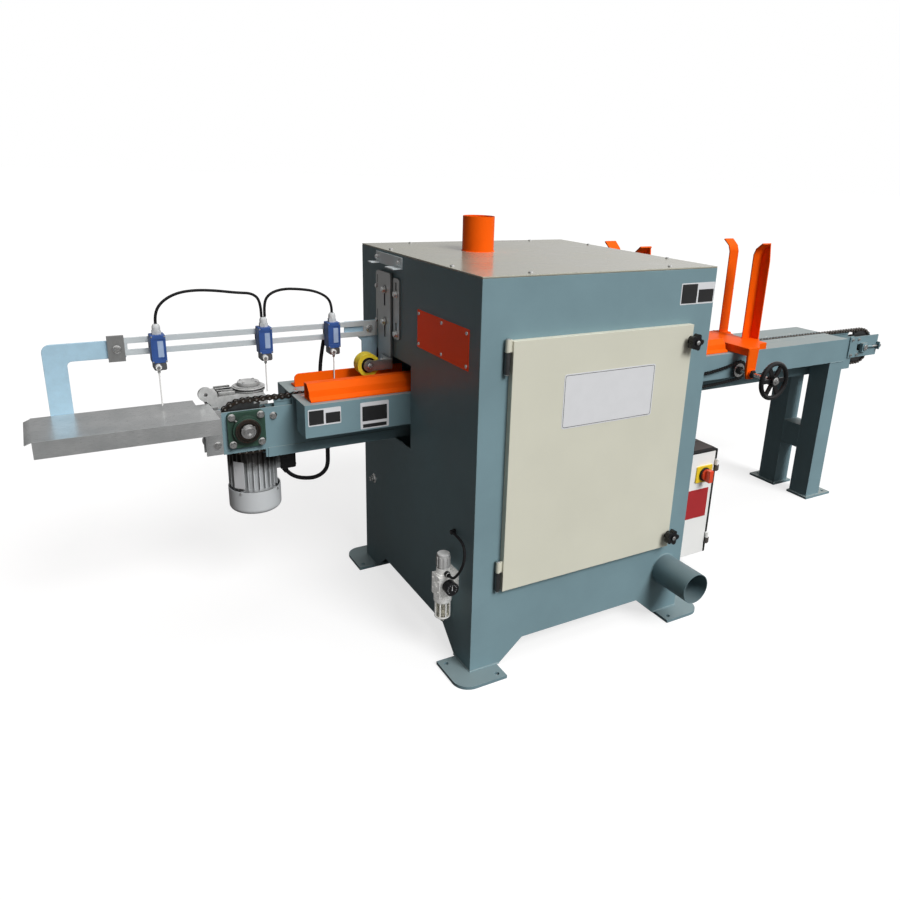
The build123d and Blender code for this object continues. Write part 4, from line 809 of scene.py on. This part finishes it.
# Outfeed tray and switch rail
bolts("channel_bolts", [(-954, CHAN_Y0, 620), (-790, CHAN_Y0, 690)], FRONT, 16.0, 7.0)
BRACKET_BACK = RAIL_Y1 + 6
bolts("rail_bolts", [(-1178, RAIL_Y0 - 6, 898), (-437, RAIL_Y0, RAIL_Z)], FRONT, 17.0, 6.0)
back_spots = [(-1345, 704), (-1316, 704), (-1178, 898), (-437, RAIL_Z)]
bolts("rail_back_bolts", [(x, BRACKET_BACK, z) for x, z in back_spots], BACK)
bolts("rail_foot_bolts", [(-449, 279, 751), (-421, 279, 751)], UP)
bm = bmesh.new()
for x in SWITCH_X:
    for dx in (-11, 11):
        if x == x3 and dx > 0:
            continue
        prism(bm, rounded(20, 26, 2), (x + dx, RAIL_Y1, RAIL_Z), BACK, 0, 2)
        hex_bolt(bm, (x + dx, RAIL_Y1 + 2, RAIL_Z), BACK, 8.0, 4.0, False)
piece("switch_nuts", bm)

SWITCH_Z0, SWITCH_Z1 = 857.0, 936.0
SWITCH_MID = (SWITCH_Z0 + SWITCH_Z1) / 2
bodies, covers, marks, heads, glands, fixings = (bmesh.new() for n in range(6))
cable_nut = [(0, 0), (11, 0), (11, 10), (9, 15), (6, 18), (0, 18)]
for x in SWITCH_X:
    back = (x, RAIL_Y0, SWITCH_MID)
    prism(bodies, rounded(40, 79, 3), back, FRONT, 0, 36)
    band(covers, rounded(39, 78, 3), rounded(31, 56, 2), back, FRONT, 36, 40)
    prism(covers, rounded(30.8, 55.8, 2), back, FRONT, 36, 38.6)
    prism(marks, rounded(15, 46, 1.5), (x + 5, RAIL_Y0 - 38.6, SWITCH_MID), FRONT, 0, 0.4)
    prism(heads, rounded(34, 21, 5), (x, RAIL_Y0 - 4, SWITCH_Z0 - 10.5), FRONT, 0, 34)
    lathe(heads, (x - 6, RAIL_Y0 - 38, SWITCH_Z0 - 10), FRONT, stud(11, 1, 9.5, 1.6), 24)
    lathe(heads, (x, SWITCH_Y, SWITCH_Z0 - 21), DOWN, [(0, -1), (9, -1), (9, 2), (7, 3.5), (0, 3.5)], 20)
    prism(glands, circle(13.6, 6), (x, SWITCH_Y, SWITCH_Z1), UP, 0, 11)
    lathe(glands, (x, SWITCH_Y, SWITCH_Z1 + 11), UP, cable_nut, 20)
    for dx, dz in four(16.8, 35.5):
        button_screw(fixings, (x + dx, RAIL_Y0 - 40, SWITCH_MID + dz), FRONT, 2.4, 1.4)
switch_bodies = piece("switch_bodies", bodies, "frame", "switch_blue", SWITCH, 1.0)
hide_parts("limit_switches")
piece("switch_covers", covers, "frame", "switch_blue", SWITCH, 0.5)
piece("switch_marks", marks, "frame", "switch_blue", SWITCH_PALE)
piece("switch_heads", heads, "frame", "dark_steel", SWITCH_DARK, 0.8)
piece("switch_glands", glands, "frame", "grey_plastic", GLAND, 0.5)
piece("switch_screws", fixings)
for n, x in enumerate(SWITCH_X):
    bm = bmesh.new()
    hex_bolt(bm, (x - 6, SWITCH_Y0 - 8.3, SWITCH_Z0 - 10), FRONT, 8.0, 4.0, False)
    lathe(bm, (x - 6, SWITCH_Y0 - 4, SWITCH_Z0 - 21), DOWN, [(0, -6), (4, -6), (4, 4), (3, 6), (0, 6)], 12)
    piece(f"lever_clamp_{n + 1}", bm, f"lever_{n + 1}")

# Press slide: it runs between two slotted strips, under an angle with a gap for its top end
STRIP_X, LOCK_Y, LOCK_Z, LOCK_HIGH = -HX - 6, 185.0, (1037, 937), 15.9
NEAR_Y, NEAR_Z, FAR_Y, FAR_Z = 113.0, (1032, 909), 256.0, (1038, 928)
ANGLE_X, ANGLE_Y0, ANGLE_Y1, ANGLE_Z0, ANGLE_Z1 = -HX - 4, 75.0, 273.0, 1110.0, 1145.0
bolts("press_strip_bolts", [(STRIP_X, NEAR_Y, z) for z in NEAR_Z], LEFT, 17.0, 7.0)
bolts("press_lock_bolts", [(-HX - LOCK_HIGH, LOCK_Y, z) for z in LOCK_Z], LEFT, 17.0, 8.5, washer=False)
bolts("press_top_bolts", [(ANGLE_X, 93, 1129), (ANGLE_X, 258, 1129)], LEFT)
bolts("press_far_bolts", [(STRIP_X, FAR_Y, z) for z in FAR_Z], LEFT)
bm = bmesh.new()
for y, wide, z_low, z_high, spots in ((NEAR_Y, 46, 892, 1080, NEAR_Z), (FAR_Y, 29, 900, 1085, FAR_Z)):
    mid = (z_low + z_high) / 2
    slots = []
    for z in spots:
        slots.append([(a, b + z + 14 - mid) for a, b in rounded(9, 44, 4.4)])
    pierced(bm, rounded(wide, z_high - z_low, 10), slots, (0, y, mid), LEFT, HX, -STRIP_X)
shank = [(0, 0), (5, 0), (5, 12.9), (13, 12.9), (13, LOCK_HIGH), (0, LOCK_HIGH)]
for z in LOCK_Z:
    lathe(bm, (-HX, LOCK_Y, z), LEFT, shank, 28)
guide_strips = piece("press_strips", bm, "frame", "dark_steel", STEEL, 0.6)
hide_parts("press_mount")
bm = bmesh.new()
slab(bm, ANGLE_X, -HX, ANGLE_Y0, ANGLE_Y1, ANGLE_Z0, ANGLE_Z1)
for y0, y1 in ((ANGLE_Y0, 137.0), (245.0, ANGLE_Y1)):
    slab(bm, ANGLE_X - 28, ANGLE_X, y0, y1, ANGLE_Z0, ANGLE_Z0 + 4)
piece("press_angle", bm, "frame", "zinc_sheet", RAIL, 0.6)
WHEEL_X, WHEEL_Z = -487.0, 812.0
bolts("press_axle_bolt", [(WHEEL_X, LINE - 33, WHEEL_Z)], FRONT, 15.0, 6.0, "press_slide")
bolts("press_arm_bolts", [(-420.6, y, WHEEL_Z) for y in (150, 188)], LEFT, 11.0, 5.0, "press_slide")
bm = bmesh.new()
hub = [(12.1, 0), (23.9, 0), (23.9, 4), (21.5, 5.2), (17, 3.2), (14, 5.2), (12.1, 5.2), (12.1, 0)]
lathe(bm, (WHEEL_X, LINE - 12, WHEEL_Z), FRONT, hub, 32)
lathe(bm, (WHEEL_X, LINE + 12, WHEEL_Z), BACK, hub, 32)
piece("press_wheel_hub", bm, "press_wheel", "black_plastic")

# Cabinet
lid_spots = [(x, y, LID_Z) for x, y in four(382, 204) + four(240, 369)]
screws("lid_screws", lid_spots, UP, 6.5, 4.0)
PLATE_Y, PLATE_Z, PLATE_W, PLATE_H = -187.5, 956.5, 311.0, 111.0
sheet("side_plate", (-HX, PLATE_Y, PLATE_Z), LEFT, PLATE_W, PLATE_H, 2.0, 3.0,
      "frame", "orange_paint", RED_PLATE, 0.5)
plate_spots = [(-HX - 2, PLATE_Y + dy, PLATE_Z + dz) for dy in (-144, 0, 144) for dz in (-44, 44)]
screws("side_plate_screws", plate_spots, LEFT, 5.5, 3.0)
bm = bmesh.new()
fitting_at = (-HX, 315, 350)
lathe(bm, fitting_at, LEFT, stud(17, 2, 15, 3), 28)
prism(bm, circle(11, 6), fitting_at, LEFT, 3, 11)
lathe(bm, fitting_at, LEFT, [(0, 11), (8, 11), (8, 17), (6.5, 18.5), (4, 18.5), (4, 14), (0, 14)], 20)
piece("side_fitting", bm)


def label(name, at, wide, tall, body="frame", corner=3.0, panels=()):
    """A bare label on a front face: a pale sheet with plain dark panels or a thin dark line round it."""
    sheet(name, at, FRONT, wide, tall, 0.5, corner, body, "white_paint", LABEL, 0.1)
    dark = bmesh.new()
    x, y, z = at
    for across, up, w_panel, h_panel in panels:
        prism(dark, rounded(w_panel, h_panel, 1.5), (x + across, y, z + up), FRONT, 0.4, 0.8)
    if not panels:
        margin, line = 7.0, 2.6
        outer = rounded(wide - margin, tall - margin, corner * 0.8)
        inner = rounded(wide - margin - line, tall - margin - line, corner * 0.65)
        band(dark, outer, inner, at, FRONT, 0.4, 0.7)
    piece(name + "_dark", dark, body, "black_plastic", LABEL_DARK)


label("door_label", (16, -HY - 20, 807.5), 324, 157, "door", 8.0)
label("beam_label_left", (-672.5, FRONT_Y0, 705.5), 99, 51, panels=((-25, 0, 44, 43), (25, -5, 44, 32)))
label("beam_label_right", (-517.5, FRONT_Y0, 691.5), 91, 83, panels=((0, 6, 79, 46), (0, -32, 76, 11)))
label("cabinet_label", (331.5, -HY, 1078.5), 133, 63, panels=((-33, 0, 60, 56), (33, -8, 60, 38)))

HINGE_X, HINGE_Y = -325.0, -411.0
bm = bmesh.new()
for z in (324, 961):
    for end, way in ((z + 34, UP), (z - 58, DOWN)):
        lathe(bm, (HINGE_X, HINGE_Y, end), way, stud(6.6, 1.5, 5, 3), 16)
piece("hinge_caps", bm, "frame", "zinc_sheet", BRIGHT)
for name, z in (("knob_upper", 943), ("knob_lower", 307)):
    turned(name + "_cap", (305, -453, z), FRONT, stud(6.5, 0.8, 5.2, 1.6), 20, name)
stop_rim = [(18.4, 0), (25, 0), (25, 2), (23.5, 3), (18.4, 3), (18.4, 0)]
turned("stop_ring", (HX, -340, 1000), RIGHT, stop_rim, 32, "frame", "yellow_rubber", SIGNAL)

# Control box
BOX_DOOR_Y, TRIM_Y, MAIN_X, MAIN_Z = -253.0, -236.0, 617.0, 401.0
sheet("switch_plate", (MAIN_X, BOX_DOOR_Y + 0.1, MAIN_Z), FRONT, 73, 61, 5.7, 3.0,
      "electrical_door", "yellow_rubber", SIGNAL, 0.8)
turned("switch_collar", (MAIN_X, BOX_DOOR_Y - 5.7, MAIN_Z), FRONT, stud(25, 5, 23.5, 6.5), 32,
       "electrical_door", "black_plastic")
sheet("box_label", (603, BOX_DOOR_Y, 286), FRONT, 100, 112, 0.6, 2.0,
      "electrical_door", "red_plastic", LABEL_RED, 0.1)
bm = bmesh.new()
slab(bm, 666, 675, BOX_DOOR_Y - 1.2, TRIM_Y, 81, 486)
slab(bm, 403, 675, BOX_DOOR_Y - 1.2, TRIM_Y, 481, 486.6)
piece("box_door_trim", bm, "electrical_door", "black_plastic", RUBBER, 0.8)

# Air filter and regulator
GAUGE_Y, GAUGE_Z = AIR_Y - 58, 266.0
gauge_ring = [(17, -1), (20.4, -1), (20.4, 1.5), (19, 2.6), (17, 1.6), (17, -1)]
turned("gauge_rim", (AIR_X, GAUGE_Y, GAUGE_Z), FRONT, gauge_ring, 32, "frame", "black_plastic")
bm = bmesh.new()
for n in range(11):
    dx, dz = polar(13.5, 225 - 27 * n)
    lathe(bm, (AIR_X + dx, GAUGE_Y, GAUGE_Z + dz), FRONT, [(0, 0), (1.0, 0), (0.8, 0.5), (0, 0.5)], 6)
needle = [(-1.4, -4), (1.4, -4), (0.5, 11), (-0.5, 11)]
prism(bm, needle, (AIR_X, GAUGE_Y, GAUGE_Z), FRONT, 0.4, 1.0)
piece("gauge_marks", bm, "frame", "white_paint", LABEL)
bm = bmesh.new()
lathe(bm, (AIR_X, AIR_Y, 288), UP, stud(23, 4, 21, 6), 32)
bowl_nut = [(0, -4), (26, -4), (26.6, 0), (26.6, 18), (25, 21), (23.4, 22), (0, 22)]
lathe(bm, (AIR_X, AIR_Y, 222), DOWN, bowl_nut, 32)
for turn in range(0, 360, 45):
    dx, dy = polar(22.2, turn)
    guard_bar = [(0, -1), (2.2, -1), (2.2, 44), (1.4, 47), (0, 47)]
    lathe(bm, (AIR_X + dx, AIR_Y + dy, 200), DOWN, guard_bar, 8)
lathe(bm, (AIR_X, AIR_Y, 154), DOWN, [(20.6, 0), (23.6, 0), (23.6, 4), (20.6, 4), (20.6, 0)], 32)
for dy, dz in ((-17, 12), (17, 12), (-17, -22), (17, -22)):
    button_screw(bm, (AIR_X - 24, AIR_Y + dy, 262 + dz), LEFT, 3.6, 2.6)
lathe(bm, (AIR_X - 24, AIR_Y, 256), LEFT, stud(10, 3, 8, 4), 6)
piece("regulator_trim", bm, "frame", "air_silver")

# Hopper, handwheel and take-up
HAND_Y = FRONT_Y0 - 195
bm = bmesh.new()
lathe(bm, (NEAR_SCREW_X, HAND_Y + 1, SCREW_Z), FRONT, stud(15, 2, 13, 3.4), 28)
hex_bolt(bm, (NEAR_SCREW_X, HAND_Y - 2.2, SCREW_Z), FRONT, 17.0, 7.0, False)
piece("handwheel_nut", bm, "hand_screw")

# The near sliding post, its plate cut back to the line from the leg to the post
POST_X, POST_W, POST_T, POST_Y = 1127.0, 50.0, 5.0, 105.0
POST_END, RIB_X = POST_X + POST_W, POST_X + POST_W - POST_T
PLATE_LOW, PLATE_TOP = 771.0, 777.0
ARM_LEFT, LEG_RIGHT, LEG_FRONT, LEG_BACK, BOSS_Y = 995.0, 1051.0, -56.0, -46.0, -64.0
bm = bmesh.new()
outside = [(POST_Y, PLATE_LOW), (POST_Y, 1113), (96, 1137), (67, 1161)]
strip = outside + [(62, 1157), (91, 1135), (100, 1111), (100, PLATE_LOW)]
prism(bm, strip, (POST_X, 0, 0), RIGHT, 0, POST_W - POST_T)
rib = outside + [(59, 1093), (59, PLATE_LOW)]
prism(bm, rib, (POST_X, 0, 0), RIGHT, POST_W - POST_T, POST_W)
plate = [(ARM_LEFT, LEG_FRONT), (LEG_RIGHT, LEG_FRONT), (1180, 58), (1180, POST_Y), (1142, POST_Y),
         (1142, 209), (ARM_LEFT, 209)]
prism(bm, [(-y, x) for x, y in plate], (0, 0, 0), UP, PLATE_LOW, PLATE_TOP)
web = [(LEG_FRONT, PLATE_LOW), (150, PLATE_LOW), (100, 747), (LEG_FRONT, 747)]
prism(bm, web, (ARM_LEFT, 0, 0), RIGHT, 0, 6)
leg = [(ARM_LEFT, PLATE_LOW), (998, SCREW_Z), (1006, 654), (1038, 654), (1046, SCREW_Z),
       (LEG_RIGHT, PLATE_LOW)]
bore = [(NEAR_SCREW_X + a, SCREW_Z + b) for a, b in circle(8.3, 28)]
pierced(bm, leg, [bore], (0, 0, 0), FRONT, -LEG_BACK, -LEG_FRONT)
boss = [(8.3, 0), (16, 0), (16, 24), (8.3, 24), (8.3, 0)]
lathe(bm, (NEAR_SCREW_X, BOSS_Y, SCREW_Z), BACK, boss, 28)
near_post = piece("near_sliding_post", bm, "hopper_arm_near", "orange_paint", ORANGE, 1.0)
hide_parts("hopper_arm_near")
screw_nut = [(8.6, 0), (17.2, 0), (17.2, 4), (14, 6), (14, 9), (8.6, 9), (8.6, 0)]
for side, x in (("near", NEAR_SCREW_X), ("far", FAR_SCREW_X)):
    turned(f"{side}_arm_collar", (x, BOSS_Y, SCREW_Z), FRONT, screw_nut, 6,
           f"hopper_arm_{side}", "dark_steel", BLACKED)
bolts("hopper_base_bolts", [(1160, 240, PLATE_TOP), (1020, 240, PLATE_TOP)], UP, 17.0, 7.0)
bolts("hopper_foot_bolts", [(530, 278, 753), (530, 57, 753)], UP)

take_spots = [(x, CHAN_Y0 - 6, z) for x in (1906, 1950) for z in (628, 700)]
bolts("take_up_front_bolts", take_spots, FRONT, 11.0, 5.0)
bolts("take_up_back_bolts", [(x, CHAN_Y1 + 6, z) for x, y, z in take_spots], BACK, 11.0, 5.0)
PULL_Y = (121, 189)
bolts("take_up_nuts", [(2097, y, SHAFT_Z) for y in PULL_Y], RIGHT, 17.0, 6.5)
bm = bmesh.new()
for y in PULL_Y:
    lathe(bm, (2046, y, SHAFT_Z), RIGHT, stud(5.3, 65, 4.4, 66.6), 16)
centred_end = [(0, 0), (13.8, 0), (12.4, 1.6), (4, 1.6), (2.6, 0.6), (0, 0.6)]
for y, way in ((CHAN_Y0 - 26, FRONT), (CHAN_Y1 + 26, BACK)):
    lathe(bm, (IDLER_X, y, SHAFT_Z), way, centred_end, 28)
piece("idler_shaft_ends", bm)

# Screws in the deck, none under the hopper's feet
bm = bmesh.new()
sunk_screw = [(0, -0.5), (6, -0.5), (6, 0.3), (5.4, 0.6), (2.6, 0.6), (2.4, 0.1), (0, 0.1)]
for x in list(range(-705, -420, 140)) + list(range(450, 1700, 155)):
    if 480 < x < 560 or 990 < x < 1185:
        continue
    for y in (119, 191):
        lathe(bm, (x, y, DECK), UP, sunk_screw, 18)
piece("deck_screws", bm)


# Welds
def weld(bm, points, r, closed=False):
    """A rippled bead laid along a line of points."""
    count = len(points)
    rings = []
    for n, p in enumerate(points):
        before = points[n - 1] if n or closed else p
        after = points[(n + 1) % count] if n < count - 1 or closed else p
        size = r * (1.0 if n % 2 else 0.78)
        rings.append(ring(bm, circle(size, 8), p, Vector(after) - Vector(before), 0))
    if closed:
        join(bm, rings + rings[:1])
    else:
        join(bm, rings)
        bm.faces.new(rings[0])
        bm.faces.new(rings[-1])


def run(a, b, step=3.0):
    """Points at about that step from a to b."""
    count = max(2, int(math.dist(a, b) / step))
    return [tuple(p + (q - p) * n / count for p, q in zip(a, b)) for n in range(count + 1)]


bm = bmesh.new()
FOOT_TOP, FOOT_IN = 10.0, 300.0
for sx, sy in four(1, 1):
    corner = (sx * HX, sy * HY, FOOT_TOP)
    weld(bm, run((sx * FOOT_IN, sy * HY, FOOT_TOP), corner), 3.0)
    weld(bm, run((sx * HX, sy * FOOT_IN, FOOT_TOP), corner), 3.0)
PIPE_X, PIPE_Z, PIPE_R = 326.0, 170.0, 50.0
TOP_PIPE_X, TOP_PIPE_Y = -121.0, 119.0
rim = circle(PIPE_R + 0.5, 108)
weld(bm, [(PIPE_X + a, -HY, PIPE_Z + b) for a, b in rim], 2.6, True)
LEG_X0, LEG_X1, LEG_D = 1606.0, 1694.0, 94.0
BRACE_Z0, BRACE_Z1 = 222.0, 330.0
for y0, y1 in ((FRONT_Y0, FRONT_Y0 + LEG_D), (REAR_Y1 - LEG_D, REAR_Y1)):
    for z in (FOOT_TOP, DECK - 100):
        corners = [(x, y, z) for x in (LEG_X0, LEG_X1) for y in (y0, y1)]
        for a, b in ((0, 2), (0, 1), (1, 3), (2, 3)):
            weld(bm, run(corners[a], corners[b]), 2.4)
for y in (FRONT_Y0 + LEG_D, REAR_Y1 - LEG_D):
    for x in (LEG_X0 + 1, LEG_X1 - 1):
        weld(bm, run((x, y, BRACE_Z0 + 2), (x, y, BRACE_Z1 - 2)), 2.2)
    for z in (BRACE_Z0, BRACE_Z1):
        weld(bm, run((LEG_X0 + 2, y, z), (LEG_X1 - 2, y, z)), 2.2)
piece("frame_welds", bm, "frame", "blue_grey_paint", smooth=60.0)
bm = bmesh.new()
weld(bm, [(TOP_PIPE_X + a, TOP_PIPE_Y + b, LID_Z) for a, b in rim], 2.2, True)


def plate_weld(x0, y0, x1, y1):
    weld(bm, run((x0, y0, PLATE_TOP), (x1, y1, PLATE_TOP)), 2.4)


for x in (POST_X, RIB_X):
    plate_weld(x, 225, x, 260)
plate_weld(POST_X, 225, POST_END, 225)
piece("orange_welds", bm, "frame", "orange_paint", smooth=60.0)
bm = bmesh.new()
plate_weld(POST_X, POST_Y, POST_END, POST_Y)
plate_weld(POST_END, 60, POST_END, 104)
plate_weld(997, LEG_BACK, 1049, LEG_BACK)
piece("near_arm_welds", bm, "hopper_arm_near", "orange_paint", smooth=60.0)


# Stage and light
def light_paths(tree):
    path = node(tree, "ShaderNodeLightPath")
    return path.outputs["Is Camera Ray"], path.outputs["Is Transmission Ray"], path.outputs["Is Glossy Ray"]


bm = bmesh.new()
WIDE = 60000.0
slab(bm, -WIDE, WIDE, -WIDE, WIDE, -20, -0.2)
mesh = bpy.data.meshes.new("floor")
bm.to_mesh(mesh)
bm.free()
floor = add_object("floor", mesh)
mat, tree, shader = new_material("floor")
seen, through, gloss = light_paths(tree)
MIRRORED, OWN_LIGHT = 0.08, 0.62
plain = maths(tree, "MAXIMUM", seen, through)
shown = maths(tree, "MAXIMUM", plain, maths(tree, "MULTIPLY", gloss, MIRRORED))
ground = mixed(tree, shown, (0.10, 0.10, 0.10), (0.9, 0.9, 0.9))
feed(tree, shader, Base_Color=ground, Roughness=0.9, Specular_IOR_Level=0.0)
glow = node(tree, "ShaderNodeEmission", Strength=1.15)
blend = node(tree, "ShaderNodeMixShader", Fac=maths(tree, "MULTIPLY", shown, OWN_LIGHT))
tree.links.new(shader.outputs[0], blend.inputs[1])
tree.links.new(glow.outputs[0], blend.inputs[2])
feed(tree, tree.nodes["Material Output"], Surface=blend.outputs[0])
mesh.materials.append(mat)

world = bpy.data.worlds.new("world")
world.use_nodes = True
bpy.context.scene.world = world
tree = world.node_tree
sky = tree.nodes["Background"]
look_way = node(tree, "ShaderNodeTexCoord")


def sky_level(bright_side, a, b, low, high):
    """A level that rises from low to high towards the bright side of the sky."""
    return span(tree, dot(tree, look_way.outputs["Generated"], bright_side), a, b, low, high)


KEY_SIDE = (0.47, -0.72, 0.51)
diffuse_level = sky_level(KEY_SIDE, 0.02, 0.9, 0.015, 0.41)
gloss_level = sky_level((0.80, -0.40, 0.45), -0.35, 0.60, 0.14, 0.95)
seen, through, gloss = light_paths(tree)
level = maths(tree, "ADD", maths(tree, "MULTIPLY", gloss_level, gloss),
              maths(tree, "MULTIPLY", diffuse_level, maths(tree, "SUBTRACT", 1.0, gloss)))
plain = maths(tree, "MAXIMUM", seen, through)
# Away from the key side the sky's light is warm, but the sky looks white, in reflections too.
looked_at = maths(tree, "MAXIMUM", plain, gloss)
white = maths(tree, "MAXIMUM", looked_at, sky_level(KEY_SIDE, 0.15, 0.8, 0.0, 1.0))
tint = mixed(tree, white, (1.0, 0.72, 0.60), (1.0, 1.0, 1.0))
feed(tree, sky, Strength=maths(tree, "MAXIMUM", level, plain), Color=tint)


def sun(name, towards, strength, angle):
    data = bpy.data.lights.new(name, "SUN")
    data.energy = strength
    data.angle = math.radians(angle)
    obj = add_object(name, data)
    obj.rotation_euler = Vector(towards).to_track_quat("Z", "Y").to_euler()
    obj.visible_glossy = False


sun("key", (0.17, -0.73, 0.66), 2.7, 26)
sun("top", (0.20, -0.10, 1.0), 0.8, 50)

bpy.context.scene.view_settings.view_transform = "Standard"
